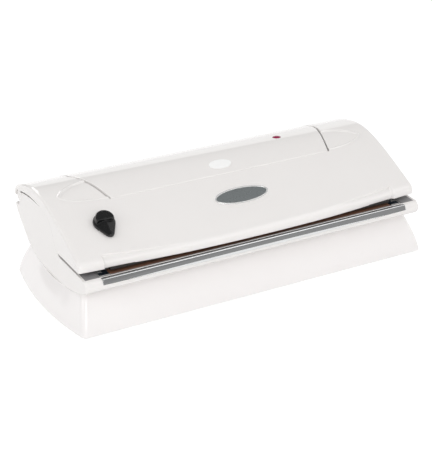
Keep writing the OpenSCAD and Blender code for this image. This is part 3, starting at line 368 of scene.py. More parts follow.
tub_skin, tub_there = tub_grid()
tub_points, tub_faces = rounded_sheet(tub_skin, SHELL_WALL, edge=0.2, keep=tub_there)
tub = mesh_piece("tub_moulding", tub_points, tub_faces, white_abs, "base", "white_abs")
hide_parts("tub_shell")


# Vacuum pump: a small direct-current motor drives a diaphragm pump and a cooling fan. They sit
# on a folded steel plate in the tub, and a silicone hose joins the pump to the deck's port.
# Glass-filled nylon: dull black-grey with a coarse flow grain
pump_nylon = finish("Glass_filled_nylon", "#4B4D50", "#3E4043", (0.45, 0.6), 4, 0.5, 0.02, IOR=1.53)
# Galvanised steel: light grey with the spangle of the zinc bath
galvanised = finish("Galvanised_steel", "#B4B8BC", "#9A9EA3", (0.3, 0.5), 5, 0.8, 0.006,
                    Metallic=1.0)
# Enamelled copper wire wound in layers, its bundles 3.1 mm apart
copper_winding, copper_tree, copper_shader = begin_material(
    "Enamelled_copper_wire", Base_Color=linear("#B5743B"), Metallic=1.0, Roughness=0.3)
wound = add_node(copper_tree, "TexCoord")
bundles = add_bands(copper_tree, wound.outputs["Object"], gap_mm=3.14, Distortion=0.6,
                    Detail=1.0)
add_relief(copper_tree, copper_shader, bundles.outputs["Fac"], 0.2)
# Silicone tube: milky, soft sheen
hose_silicone = finish("Silicone_tube", "#D9D7D2", "#CFCDC6", (0.35, 0.5), 6, 1.2, 0.01,
                       IOR=1.41, Subsurface_Weight=0.2, Subsurface_Scale=0.002)
dress(pump_nylon, "pump_head", "cooling_fan")
dress(galvanised, "motor_can", "motor_mount")
dress(copper_winding, "motor_rotor")
dress(hose_silicone, "air_hose")


# Electrics: a mains transformer with a laminated core, a glass-epoxy control board with its
# relay and capacitors, two start switches under the lid's arms and the socket for the lead.
# Silicon steel laminations: dark, oiled, with the edges of sheets in packs 3.1 mm thick
core_steel, core_tree, core_shader = begin_material(
    "Silicon_steel_laminations", Base_Color=linear("#6A6D72"), Metallic=1.0, Roughness=0.45)
stacked = add_node(core_tree, "TexCoord")
packs = add_bands(core_tree, stacked.outputs["Object"], gap_mm=3.14, bands_direction="Y")
add_relief(core_tree, core_shader, packs.outputs["Fac"], 0.1)
# Glass-epoxy board: glossy green solder mask over tracks
board_mask = finish("Glass_epoxy_board", "#2E6C45", "#275E3B", (0.2, 0.35), 2, 1.5, 0.03, IOR=1.55)
# Moulded component cases: dull dark plastic
component_case = finish("Component_case", "#33383E", "#2A2E33", (0.4, 0.55), 3, 0.4, 0.01, IOR=1.55)
# Polyester socket body: dense black with a slight shine
black_pbt = finish("Black_polyester", "#1D1D1F", "#242426", (0.3, 0.42), 5, 0.5, 0.008, IOR=1.57)
# Bright plated brass pins
plated_brass = finish("Nickel_plated_brass", "#CFCBC0", "#C2BDB0", (0.15, 0.25), 2, 0.5, 0.002,
                      Metallic=1.0)
dress(core_steel, "transformer_core")
dress(copper_winding, "transformer_coil")
dress(board_mask, "circuit_board", "signal_board")
dress(component_case, "board_parts", "start_switches")
dress(black_pbt, "power_inlet")
dress(plated_brass, "inlet_pins")


# Deck: a grey ABS tray closes the tub. It holds the sealing bar's channel, the gasket's groove
# and the drip trough, and rises at the back under the crown and the lid's arms.
# Satin grey ABS: fine eroded grain
deck_abs = finish("Satin_grey_ABS", "#8C8B8C", "#858485", (0.34, 0.44), 16, 0.6, 0.012, IOR=1.54)
dress(deck_abs, "deck_tray")
dress(base_abs, "vacuum_port", "start_plunger_left", "start_plunger_right")


# Front trim: a strip rolled from chrome-plated steel, snapped over the tub's nose. It is the
# edge that the bag lies on.
BAR_HALF = 170.0
TRIM_T, TRIM_LOW, TRIM_DIP = 1.2, 51.4, 1.9
trim_top = chain(bezier((4.6, 56.15), (3.2, 56.4), (1.8, 56.65), (0.8, 56.8), 12),
                 bezier((0.8, 56.8), (0.1, 56.9), (-0.6, 56.5), (-1.0, 55.7), 10))


def trim_section(x):
    """The strip reaches a little lower in the middle of its length."""
    low = TRIM_LOW - TRIM_DIP * (1 - (x / BAR_HALF) ** 2)
    return chain(trim_top, bezier(trim_top[-1], (-1.5, 54.6), (-2.4, 52.8), (-2.8, low), 18))


trim_skin = [at_x(x, trim_section(x)) for x in np.linspace(-BAR_HALF, BAR_HALF, 25)]
trim_points, trim_faces = rounded_sheet(np.stack(trim_skin, 1), TRIM_T, edge=0.45)
# Chrome plating on steel: a mirror with a little waviness from the rolling
chrome = finish("Chrome_plated_steel", "#DDDEDE", "#D6D7D8", (0.06, 0.1), 25, 9, 0.002,
                Metallic=1.0)
trim = mesh_piece("front_trim_strip", trim_points, trim_faces, chrome, "base", "trim_chrome")
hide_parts("chrome_trim")


# Sealing bar: an aluminium bar on five springs carries a flat heating ribbon under a tape of
# woven glass coated with brown fluoropolymer. Moulded end blocks and steel tabs hold the tape.
def stacked_faces(around, rings):
    """Faces of a closed solid made of rings stacked upwards."""
    faces = [[k * around + a, k * around + (a + 1) % around,
              (k + 1) * around + (a + 1) % around, (k + 1) * around + a]
             for k in range(rings - 1) for a in range(around)]
    return faces + [list(range(around))[::-1], [(rings - 1) * around + a for a in range(around)]]


def outward_of(outline):
    """Unit normals out of a closed outline that turns left."""
    way = np.roll(outline, -1, 0) - np.roll(outline, 1, 0)
    return np.c_[way[:, 1], -way[:, 0]] / np.linalg.norm(way, axis=1)[:, None]


def slab(outline, low, high, edge, dome=None):
    """Closed block: an outline raised from low to high with rounded edges, and with a dome
    the top is crowned by that much."""
    out, turn = outward_of(outline), np.linspace(0, math.pi / 2, 5)
    rings = [(edge * (1 - math.sin(a)), low + edge * (1 - math.cos(a))) for a in turn]
    rings += [(edge * (1 - math.cos(a)), high - edge * (1 - math.sin(a))) for a in turn]
    points = [np.c_[outline - out * inset, np.full(len(outline), z)] for inset, z in rings]
    if dome is not None:
        middle, rim = outline.mean(0), points[-1][:, :2]
        for share in (0.94, 0.75, 0.5, 0.25):
            crowned = np.full(len(outline), high + dome * (1 - share**2))
            points.append(np.c_[middle + (rim - middle) * share, crowned])
    return np.vstack(points), stacked_faces(len(outline), len(points))


def gather(*parts):
    """Several closed shapes as one."""
    points, faces, count = [], [], 0
    for more, loops in parts:
        points.append(more)
        faces += [[k + count for k in loop] for loop in loops]
        count += len(more)
    return np.vstack(points), faces


def box_outline(x0, x1, y0, y1, radius):
    """Corner-rounded rectangle, turning left."""
    return np.vstack([arc((x1 - radius, y0 + radius), radius, 270, 360, 5),
                      arc((x1 - radius, y1 - radius), radius, 0, 90, 5),
                      arc((x0 + radius, y1 - radius), radius, 90, 180, 5),
                      arc((x0 + radius, y0 + radius), radius, 180, 270, 5)])


def mirrored(points, faces):
    """A shape and its twin on the other side of the machine."""
    return gather((points, faces), (points * (-1, 1, 1), [face[::-1] for face in faces]))


BAR_Y, BAR_W, TAPE_TOP = 6.3, 12.0, 55.5
TAB_IN, TAB_OUT, TAB_T, TAB_GAP = 158.6, 169.9, 0.8, 0.1
# Extruded aluminium: satin, with fine die lines along its length
bar_aluminium = finish("Extruded_aluminium", "#B9BABC", "#ABADAF", (0.28, 0.38), 10, 0.6, 0.004,
                       Metallic=1.0)
# Nickel-chromium ribbon: warm grey rolled metal, slightly blued by heat
ribbon_alloy = finish("Nickel_chromium_ribbon", "#A59A90", "#8F8A8C", (0.2, 0.35), 6, 0.5, 0.002,
                      Metallic=1.0)
# Woven glass tape with a fluoropolymer coat: brown, greasy sheen, with a weave 4.4 mm apart,
# drawn coarser than the real cloth so that it can be seen
tape_cloth, tape_tree, tape_shader = begin_material("Coated_glass_cloth", Roughness=0.34, IOR=1.38)
tape_at = add_node(tape_tree, "TexCoord")
warp, weft = (add_bands(tape_tree, tape_at.outputs["Object"], gap_mm=4.4, bands_direction=axis)
              for axis in "XY")
crossing = add_node(tape_tree, "Math", {"operation": "MULTIPLY"},
                    {0: warp.outputs["Fac"], 1: weft.outputs["Fac"]})
smear = add_node(tape_tree, "TexNoise", {"Scale": 1000 / 14, "Detail": 4.0},
                 {"Vector": tape_at.outputs["Object"]})
tape_tone = add_node(tape_tree, "Mix", {"data_type": "RGBA", 6: linear("#6B4C3D"),
                                        7: linear("#8A6552")}, {0: smear.outputs["Fac"]})
tape_tree.links.new(tape_tone.outputs[2], tape_shader.inputs["Base Color"])
add_relief(tape_tree, tape_shader, crossing.outputs[0], 0.12)
# Phenolic moulding: dark blue-grey with a dry shine
phenolic = finish("Phenolic_moulding", "#27313B", "#1F272F", (0.3, 0.42), 3, 0.5, 0.01, IOR=1.6)
# Nickel-plated spring steel for the springs, the hinge pins and the spindle
plated_steel = finish("Nickel_plated_steel", "#D6D4CE", "#C5C3BE", (0.12, 0.22), 3, 0.6, 0.003,
                      Metallic=1.0)
dress(bar_aluminium, "seal_bar")
dress(ribbon_alloy, "heating_ribbon")
dress(tape_cloth, "release_tape")
dress(phenolic, "bar_end_blocks")
dress(plated_steel, "bar_springs")
# A tab clasps the front and the end of each block, and its rear foot lies on the tape
tab_front = slab(box_outline(TAB_IN, TAB_OUT - 0.7, BAR_Y + TAB_GAP, BAR_Y + 1.5, 0.3),
                 TAPE_TOP - 0.6, TAPE_TOP + TAB_T, 0.2)
tab_end = slab(box_outline(TAB_OUT - 0.9, TAB_OUT, BAR_Y + TAB_GAP, BAR_Y + BAR_W - 0.3, 0.3),
               TAPE_TOP - 1, TAPE_TOP + TAB_T, 0.2)
tab_foot = slab(box_outline(TAB_IN + 5.4, TAB_OUT - 0.5, BAR_Y + 8.6, BAR_Y + BAR_W - 0.6, 0.5),
                TAPE_TOP + 0.02, TAPE_TOP + 0.5, 0.15)
tab_points, tab_faces = mirrored(*gather(tab_front, tab_end, tab_foot))
# Zinc-plated and passivated tabs: bright, with a soft spread highlight
tab_steel = finish("Satin_plated_steel", "#F0EFEC", "#E4E3DF", (0.32, 0.42), 3, 0.5, 0.003,
                   Metallic=0.85)
tabs = mesh_piece("tape_tabs", tab_points, tab_faces, tab_steel, "base", "screw_steel")
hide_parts("bar_clips")


# Lower gasket: a closed ring of dark foam, cut from sheet and glued into the deck's groove
# round the drip trough.
def ring_band(outline, profile):
    """A closed loop of section profile (outward, up) carried round an outline in plan."""
    out = outward_of(outline)
    points = [np.c_[outline + out * reach, np.full(len(outline), z)] for reach, z in profile]
    around, loops, faces = len(outline), len(profile), []
    for k in range(loops):
        for a in range(around):
            b, m = (a + 1) % around, (k + 1) % loops
            faces.append([k * around + a, k * around + b, m * around + b, m * around + a])
    return np.vstack(points), faces


GASKET_HALF, GASKET_FRONT, GASKET_BACK, GASKET_W = 167.0, 20.8, 56.8, 5.0
GASKET_LOW, GASKET_TOP, GROOVE_GAP = 54.52, 59.9, 0.1
# Closed-cell foam: matt charcoal skin with pores 0.5 to 1 mm across
foam, foam_tree, foam_shader = begin_material("Closed_cell_foam", Roughness=0.85, IOR=1.5)
foam_at = add_node(foam_tree, "TexCoord")
pores = add_node(foam_tree, "TexVoronoi", {"Scale": 1000 / 0.8},
                 {"Vector": foam_at.outputs["Object"]})
foam_tone = add_node(foam_tree, "Mix", {"data_type": "RGBA", 6: linear("#2B2B2D"),
                                        7: linear("#454547")}, {0: pores.outputs["Distance"]})
foam_tree.links.new(foam_tone.outputs[2], foam_shader.inputs["Base Color"])
add_relief(foam_tree, foam_shader, pores.outputs["Distance"], 0.3)


def gasket_band(low, high):
    """A foam ring of the groove's plan, a little narrower than the groove."""
    side = GASKET_W - 2 * GROOVE_GAP
    around = box_outline(-GASKET_HALF - side, GASKET_HALF + side, GASKET_FRONT + GROOVE_GAP,
                         GASKET_BACK - GROOVE_GAP, side + 1)
    return ring_band(around, box_outline(-side, 0, low, high, 0.6))


gasket_points, gasket_faces = gasket_band(GASKET_LOW, GASKET_TOP)
gasket = mesh_piece("lower_gasket_ring", gasket_points, gasket_faces, foam, "base", "gasket_foam")
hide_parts("lower_gasket")


# Crown: the fixed back half of the top in gloss white ABS, screwed to the deck from below.
# Its front wall follows the sweep of the lid and its flanks draw in towards the front.
LID_WALL = 3.0
SHUT, SUMMIT = np.array((75.5, 98.3)), np.array((112.0, 106.0))
ROLL_R, ROLL_FROM = 11.5, 65
ROLL_UP = np.array((math.cos(math.radians(ROLL_FROM)), math.sin(math.radians(ROLL_FROM))))
ROLL, ROLL_WAY = HINGE + ROLL_R * ROLL_UP, ROLL_UP[::-1] * (1, -1)
face_line = bezier((1, 64), (26, 76.5), (56, 91.1), SHUT, 400)
over_line = bezier(SHUT, SHUT + (11.5, 4.3), SUMMIT - (12, 0), SUMMIT, 200)
tail_line = bezier(SUMMIT, SUMMIT + (18, 0), ROLL - 12 * ROLL_WAY, ROLL, 200)
top_line = chain(face_line, over_line, tail_line)


def top_at(y):
    return np.interp(y, top_line[:, 0], top_line[:, 1])


CROWN_HALF, CROWN_SLOPE, SHOULDER_Y = 142, 18 / 57.5, 133
CROWN_SWEEP_R, CROWN_EDGE_R, CROWN_REAR_Y, ROOF_END_Y = 83.8, 0.9, 170, 149.8


def crown_half(y):
    """Half width of the crown, with its shoulder eased."""
    drawn_in = np.maximum(SHOULDER_Y - np.asarray(y, float), 0)
    eased = CROWN_HALF - CROWN_SLOPE * np.sqrt(drawn_in**2 + 4)
    return eased + CROWN_SLOPE * 2 * (drawn_in < 1e-9)


def crown_grid():
    """Rows run from the front wall's foot over the top to the rear, columns from end to end."""
    front = arc(HINGE, CROWN_SWEEP_R, 186.3, 169.6, 24)
    rear_drop = np.array([(169.5, 82.5), (169.7, 80.5), (CROWN_REAR_Y, 78.5), (CROWN_REAR_Y, 72)])
    skin = spaced(chain(over_line[6:], tail_line, arc(HINGE, ROLL_R, ROLL_FROM, 0, 30),
                        rear_drop), 110)
    turn = bezier(front[-1], front[-1] + (0.08, 0.35), skin[0] - (0.35, 0.13), skin[0], 6)
    section = chain(front, turn, skin)
    inward = -left_of(section)
    front_rows = len(front) + len(turn) - 1
    low_y = np.r_[np.linspace(75.9, 79, front_rows),
                  np.clip(section[front_rows:, 0], 79, ROOF_END_Y)]
    low = np.c_[low_y, roof_at(low_y) + 0.3]
    rear = section[:, 0] >= ROOF_END_Y
    rear_foot = np.array([(ROOF_END_Y, 88.8), (150.1, 71.8), (169.2, 71.8)])
    low[rear] = spaced(rear_foot, rear.sum() - 1)
    flank = section + inward * CROWN_EDGE_R
    sides = [low + (flank - low) * share for share in (0, 0.25, 0.5, 0.75, 0.97)]
    sides = [at_x(crown_half(side[:, 0]), side) for side in sides]
    for turned in np.linspace(math.pi / 2, 0, 5):
        side = section + inward * CROWN_EDGE_R * (1 - math.cos(turned))
        sides.append(at_x(crown_half(side[:, 0]) - CROWN_EDGE_R * (1 - math.sin(turned)), side))
    across = [at_x((crown_half(section[:, 0]) - CROWN_EDGE_R) * u, section)
              for u in np.linspace(1, -1, 15)[1:-1]]
    return np.stack(sides + across + [side * (-1, 1, 1) for side in sides[::-1]], 1)


crown_points, crown_faces = rounded_sheet(crown_grid(), LID_WALL, edge=0.4)
crown = mesh_piece("crown_moulding", crown_points, crown_faces, white_abs, "base", "white_abs")
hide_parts("crown")
dress(zinc_steel, "crown_screws")


# Crown fittings: a domed acrylic lens over the signal lamp, and an oval badge of white enamel
# that is glued into a shallow seat and left bare.
def on_top(points, x, y):
    """Puts a shape on the top's skin at a place in plan, with its own up along the normal."""
    slope = math.atan2(float(top_at(y + 2) - top_at(y - 2)), 4)
    u, v, w = np.asarray(points, float).T
    return np.c_[x + u, y + v * math.cos(slope) - w * math.sin(slope),
                 float(top_at(y)) + v * math.sin(slope) + w * math.cos(slope)]


def oval(a, b, steps=96):
    angle = np.linspace(0, 2 * math.pi, steps, endpoint=False)
    return np.c_[a * np.cos(angle), b * np.sin(angle)]


LENS_R, BADGE_A, BADGE_B = 4.5, 12.5, 7.0
LENS_AT, BADGE_AT = (88, 120), (3, 90)
# Dyed acrylic: deep magenta red, glossy
lens_acrylic = finish("Red_acrylic", "#98184A", "#8C1443", (0.05, 0.1), 3, 2, 0.002, IOR=1.49,
                      Coat_Weight=0.4)
# Vitreous white enamel on a thin plate: brighter than the moulding round it
enamel = finish("White_enamel", "#FDFDFC", "#FBFBFA", (0.06, 0.12), 8, 3, 0.002, IOR=1.52)
lens_points, lens_faces = slab(oval(LENS_R, LENS_R, 48), -4.0, 0.45, edge=0.35, dome=0.9)
lens = mesh_piece("signal_lens_dome", on_top(lens_points, *LENS_AT), lens_faces, lens_acrylic,
                  "base", "lens_red")
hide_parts("signal_lens")
badge_points, badge_faces = slab(oval(BADGE_A, BADGE_B), -0.78, 0.5, edge=0.3, dome=0.35)
badge = mesh_piece("crown_badge_plate", on_top(badge_points, *BADGE_AT), badge_faces, enamel, "base",
                   "badge_white")
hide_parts("crown_badge")


# Lid: a curved sheet of gloss white ABS with a skirt round its front and ends. Two arms pass
# the crown to the hinge, with pressed finger rests, and finger ledges run along its front.
LID_HALF = 188.5
LIP_Y, LIP_BOW, LIP_DIP = 11.0, 6.5, 1.7
LID_LOW, LID_EDGE_R = 61.1, 3.0
FACE_HALF, ARM_GAP = 126.0, 2.0
PRESS_PER_MM = math.tan(math.radians(1))
CHEEK_GAP, RING_R, RING_FROM = 1.8, 6.5, 120
REST_RIDGE, REST_DEPTH, LEDGE_DEPTH = 0.75, 1.0, 2.2
LEDGE_FROM_X, LEDGE_TO_X = 77, 162
FLAT_TO_Y, ARM_FROM_Y, ARM_LEAD_STEPS = 56, 125, 60
SKIRT_STEPS, KNEE_STEPS = 4, 8
face_rows = np.r_[np.linspace(0, 6, 31), np.linspace(6, 64, 41)[1:]] / 64
KNEE_ROW = SKIRT_STEPS + KNEE_STEPS
SHUT_ROW = KNEE_ROW + len(face_rows) - 1


def press_room(y):
    """Room under the lid's ends to press it down by a degree, wider towards the hinge."""
    swing = 0.5 + np.maximum(HINGE[0] - y, 0) * PRESS_PER_MM
    # The deck is steep here, so room measured upwards has to be greater
    swing += 1.6 * smooth_step(y, 60, 65) * smooth_step(-y, -88, -78)
    return swing + CHEEK_GAP * np.clip((y - 88) / 36, 0, 1)


def to_curve(points, curve):
    """Distance from points to a polyline in plan."""
    best = np.full(len(points), 1e9)
    for a, b in zip(curve[:-1], curve[1:]):
        run = b - a
        s = np.clip((points - a) @ run / (run @ run), 0, 1)
        best = np.minimum(best, np.linalg.norm(points - a - s[:, None] * run, axis=1))
    return best


def inside(points, outline):
    """Whether points in plan lie within a closed outline."""
    held = np.zeros(len(points), bool)
    for a, b in zip(outline, np.roll(outline, -1, axis=0)):
        crosses = (a[1] > points[:, 1]) != (b[1] > points[:, 1])
        at = a[0] + (points[:, 1] - a[1]) / (b[1] - a[1] + 1e-12) * (b[0] - a[0])
        held ^= crosses & (points[:, 0] < at)
    return held


rest_line = chain(bezier((0, 2.5), (29, 2.5), (45, 8), (49, 16), 24),
                  bezier((49, 16), (41, 28), (24, 35), (10, 36), 24)) + (124, 75.5)
rest_outline = np.vstack([rest_line, (120, 111.5), (110, 78)])


def pressed_features(x, y, lip):
    """How far the lid's skin stands in or out at points in plan, in mm."""
    spot = np.c_[abs(x), y]
    off = to_curve(spot, rest_line)
    within = inside(spot, rest_outline)
    rest = REST_RIDGE * np.exp(-((off / 0.8) ** 2))
    rest -= REST_DEPTH * within * smooth_step(off, 0.3, 1.6)
    run = np.clip((abs(x) - LEDGE_FROM_X) / (LEDGE_TO_X - LEDGE_FROM_X), 0, 1)
    deep = LEDGE_DEPTH * run * smooth_step(LEDGE_TO_X + 1 - abs(x), 0, 1.6)
    ledge = -deep * smooth_step(lip + 4 + 4 * run - y, -0.2, 0.6)
    return np.where(y > 70, rest, ledge)


lid_back = chain(over_line, tail_line, arc(HINGE, ROLL_R, ROLL_FROM, -5, 60))
lid_back = points_at(lid_back, np.r_[np.linspace(0, 42, 71),
                                     np.linspace(42, walked_along(lid_back)[-1], 60)[1:]])


def lid_section(x):
    """The lid's outer line at x, from its lower edge in front to the hinge, and its lip's y."""
    bow = 1 - (x / LID_HALF) ** 2
    lip, low = LIP_Y - LIP_BOW * bow, LID_LOW - LIP_DIP * bow
    knee = top_at(lip)
    skirt = np.c_[np.full(SKIRT_STEPS + 1, lip), np.linspace(low, knee - 3.2, SKIRT_STEPS + 1)]
    t = np.linspace(0, 1, KNEE_STEPS + 1)[:, None]
    start, middle = np.array((lip, knee - 3.2)), np.array((lip, knee - 0.6))
    end = np.array((lip + 4.5, top_at(lip + 4.5)))
    turn = (1 - t) ** 2 * start + 2 * t * (1 - t) * middle + t**2 * end
    y = end[0] + (SHUT[0] - end[0]) * face_rows
    return chain(skirt, turn, np.c_[y, top_at(y)], lid_back), lip


def lid_column(x_of_row):
    """One column of the lid's skin, with the features that are pressed into it."""
    path, lip = lid_section(float(np.median(x_of_row)))
    out = pressed_features(x_of_row, path[:, 0], lip)
    return at_x(x_of_row, path + left_of(path) * out[:, None])


def cheek_edge(path, lip):
    """Lower edge of the lid's end faces: it clears the deck, then runs round the hinge."""
    y = np.r_[np.linspace(lip + 3.4, lip + 6, KNEE_ROW + 1), path[KNEE_ROW + 1:, 0]]
    y = np.maximum.accumulate(y)
    low = np.c_[y, np.maximum(LID_LOW, roof_at(y) + press_room(y))]
    low[y < FLAT_TO_Y, 1] = LID_LOW
    angle = np.degrees(np.arctan2(path[:, 1] - HINGE[1], path[:, 0] - HINGE[0]))
    arm_rows = np.nonzero(path[:, 0] > ARM_FROM_Y)[0]
    arm_from = angle[arm_rows[0]]
    lead_y = np.linspace(ARM_FROM_Y, ROOF_END_Y, 20)
    lead = np.vstack([np.c_[lead_y, roof_at(lead_y) + press_room(lead_y)],
                      arc(HINGE, RING_R, RING_FROM, RING_FROM, 0)])
    lead = spaced(lead, ARM_LEAD_STEPS)
    for k in arm_rows:
        if angle[k] > RING_FROM:
            share = (arm_from - angle[k]) / (arm_from - RING_FROM)
            low[k] = lead[int(round(share * ARM_LEAD_STEPS))]
        else:
            low[k] = arc(HINGE, RING_R, angle[k], angle[k], 0)[0]
    return low


def lid_grid():
    """Rows run from the lower edge in front to the hinge, columns from end to end."""
    edge_x = LID_HALF - LID_EDGE_R
    end_path, end_lip = lid_section(edge_x)
    rows, inward = len(end_path), -left_of(end_path)
    arm_half = crown_half(np.maximum(end_path[:, 0], SHUT[0])) + ARM_GAP
    inner = np.where(np.arange(rows) >= SHUT_ROW, arm_half, FACE_HALF)
    corner = [at_x(edge_x + LID_EDGE_R * math.sin(turned),
                   end_path + inward * LID_EDGE_R * (1 - math.cos(turned)))
              for turned in np.linspace(math.pi / 2, 0, 8)[:-1]]
    flank, low = corner[0][:, 1:], cheek_edge(end_path, end_lip)
    cheek = [at_x(LID_HALF, flank + (low - flank) * share) for share in (1, 0.5, 0.04)]
    arm = np.r_[np.linspace(60, 2.2, 84), 1.4, 0.7, 0] / 60
    side = cheek + corner + [lid_column(inner + (edge_x - inner) * share) for share in arm]
    middle = [lid_column(np.full(rows, FACE_HALF * u)) for u in np.linspace(1, -1, 41)[1:-1]]
    grid = np.stack(side + middle + [column * (-1, 1, 1) for column in side[::-1]], 1)
    keep = np.ones((rows - 1, grid.shape[1] - 1), bool)
    keep[SHUT_ROW:, len(side) - 1:len(side) + len(middle)] = False
    return grid, keep


lid_skin, lid_there = lid_grid()
lid_points, lid_faces = rounded_sheet(lid_skin, LID_WALL, edge=0.5, keep=lid_there)
lid = mesh_piece("lid_moulding", lid_points, lid_faces, white_abs, "lid", "white_abs")
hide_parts("lid_shell")


# Ears: round bosses at the top of the tub's end walls close the ends of the hinge. They are
# moulded with the tub.
def along_width(points):
    """Lays a shape made upright from (y, z) outlines along the machine's width."""
    return np.asarray(points)[:, [2, 0, 1]]


EAR_R, EAR_PROUD = 6.0, 0.3
ear_points, ear_faces = slab(arc(HINGE, EAR_R, 0, 354, 59), TUB_END - SHELL_WALL + 0.4,
                             TUB_END + EAR_PROUD, edge=0.25)
ears = mesh_piece("tub_ears", *mirrored(along_width(ear_points), ear_faces), white_abs, "base",
                  "white_abs")
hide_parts("tub_shell")


# Inside the lid: knuckles for the hinge pins, bosses for the liner's screws and a post over
# each start plunger, all moulded with the lid.
KNUCKLE_W, POST_R, POST_Y, POST_LOW = 6.0, 4.0, 38.8, 63.9
PUSHER_AT, PUSHER_LOW = (152, 96), 96.9
knuckle_outline = np.vstack([arc(HINGE, 9.8, 62, 112, 8), arc(HINGE, 6.7, 150, 390, 24)])
knuckles = [slab(knuckle_outline, x, x + KNUCKLE_W, edge=0.4) for x in (150.0, 170.0)]
knuckles = gather(*[(along_width(points), faces) for points, faces in knuckles])
posts = [slab(arc((x, POST_Y), POST_R, 0, 350, 35), POST_LOW, float(top_at(POST_Y)) - 2.4, 0.3)
         for x in (29.5, 88.5, 147.5)]
posts.append(slab(arc(PUSHER_AT, POST_R, 0, 350, 35), PUSHER_LOW,
                  float(top_at(PUSHER_AT[1])) - 2.2, 0.3))
inner_points, inner_faces = mirrored(*gather(knuckles, *posts))
inner = mesh_piece("lid_knuckles_and_posts", inner_points, inner_faces, white_abs, "lid",
                   "white_abs")
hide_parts("lid_shell")
dress(plated_steel, "hinge_pins")


# Liner: a flat satin ABS plate screwed to the lid's bosses. It carries the upper foam gasket
# and the silicone strip that presses the bag onto the sealing bar.
# Silicone rubber with a soft sheen, slightly dusty. Its near-black colour is partly painted shade,
# standing in for the dark shadow line under the lid's front edge
silicone = finish("Silicone_rubber", "#2B2827", "#383433", (0.5, 0.65), 4, 0.8, 0.01, IOR=1.41)
UPPER_GASKET_LOW, UPPER_GASKET_TOP = 60.3, 62.5
upper_points, upper_faces = gasket_band(UPPER_GASKET_LOW, UPPER_GASKET_TOP)
upper = mesh_piece("upper_gasket_ring", upper_points, upper_faces, foam, "lid", "gasket_foam")
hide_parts("upper_gasket")
dress(base_abs, "lid_liner")
dress(zinc_steel, "liner_screws")
dress(silicone, "press_strip")


# Name plate: a bare oval of grey lacquered metal, slightly domed, in a bright half-round rim
# that is pressed into the lid.
PLATE_A, PLATE_B, RIM_W = 30.0, 10.4, 1.8
PLATE_AT, PLATE_LOW = (3, 46), -0.78
# Lacquered plate: neutral grey, satin
plate_lacquer = finish("Grey_lacquered_plate", "#858A8B", "#7C8182", (0.22, 0.32), 8, 0.8, 0.004,
                       IOR=1.5, Metallic=0.35)
# Anodised rim: silver white, satin bright
rim_silver = finish("Bright_anodised_rim", "#EDEDEC", "#E2E2E1", (0.18, 0.28), 6, 0.8, 0.003,
                    Metallic=0.6)
plate_points, plate_faces = slab(oval(PLATE_A - RIM_W + 0.1, PLATE_B - RIM_W + 0.1), PLATE_LOW,
                                 0.35, edge=0.15, dome=0.5)
plate = mesh_piece("name_plate_blank", on_top(plate_points, *PLATE_AT), plate_faces, plate_lacquer,
                   "lid", "plate_grey")
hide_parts("name_plate")
half_round = arc((-RIM_W / 2, 0.25), RIM_W / 2, 0, 180, 10)
rim_profile = np.vstack([half_round, [(-RIM_W, PLATE_LOW), (0, PLATE_LOW)]])
rim_points, rim_faces = ring_band(oval(PLATE_A, PLATE_B, 128), rim_profile)
plate_rim = mesh_piece("name_plate_surround", on_top(rim_points, *PLATE_AT), rim_faces, rim_silver,
                       "lid", "trim_chrome")
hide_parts("name_plate_rim")


# Vacuum valve: a turned spindle with a rubber ring seal in an ABS body, worked by a black knob
# with a ridged pointer. The knob is moulded in one piece and pressed onto the spindle.
KNOB_R, SKIRT_H, GRIP_R, KNOB_TOP = 10.8, 3.4, 9.6, 9.6
TIP_R, POINTER_REACH, RIDGE_START, RIDGE_END = 4.6, 18.0, 8.0, 4.4
TOP_EDGE_R, KNOB_AT = 1.4, (-145, 48.5)


def to_outline(outline, angles):
    """Distance from the knob's axis to a closed outline in each direction."""
    a, b = outline, np.roll(outline, -1, axis=0)
    run = (b - a)[None]
    way = np.c_[np.sin(angles), np.cos(angles)][:, None]
    cross = way[..., 0] * run[..., 1] - way[..., 1] * run[..., 0]
    cross = np.where(abs(cross) < 1e-9, 1e-9, cross)
    t = (a[:, 0] * run[..., 1] - a[:, 1] * run[..., 0]) / cross
    s = (a[:, 0] * way[..., 1] - a[:, 1] * way[..., 0]) / cross
    return np.where((s >= -1e-6) & (s <= 1 + 1e-6) & (t > 0), t, 0).max(axis=1)


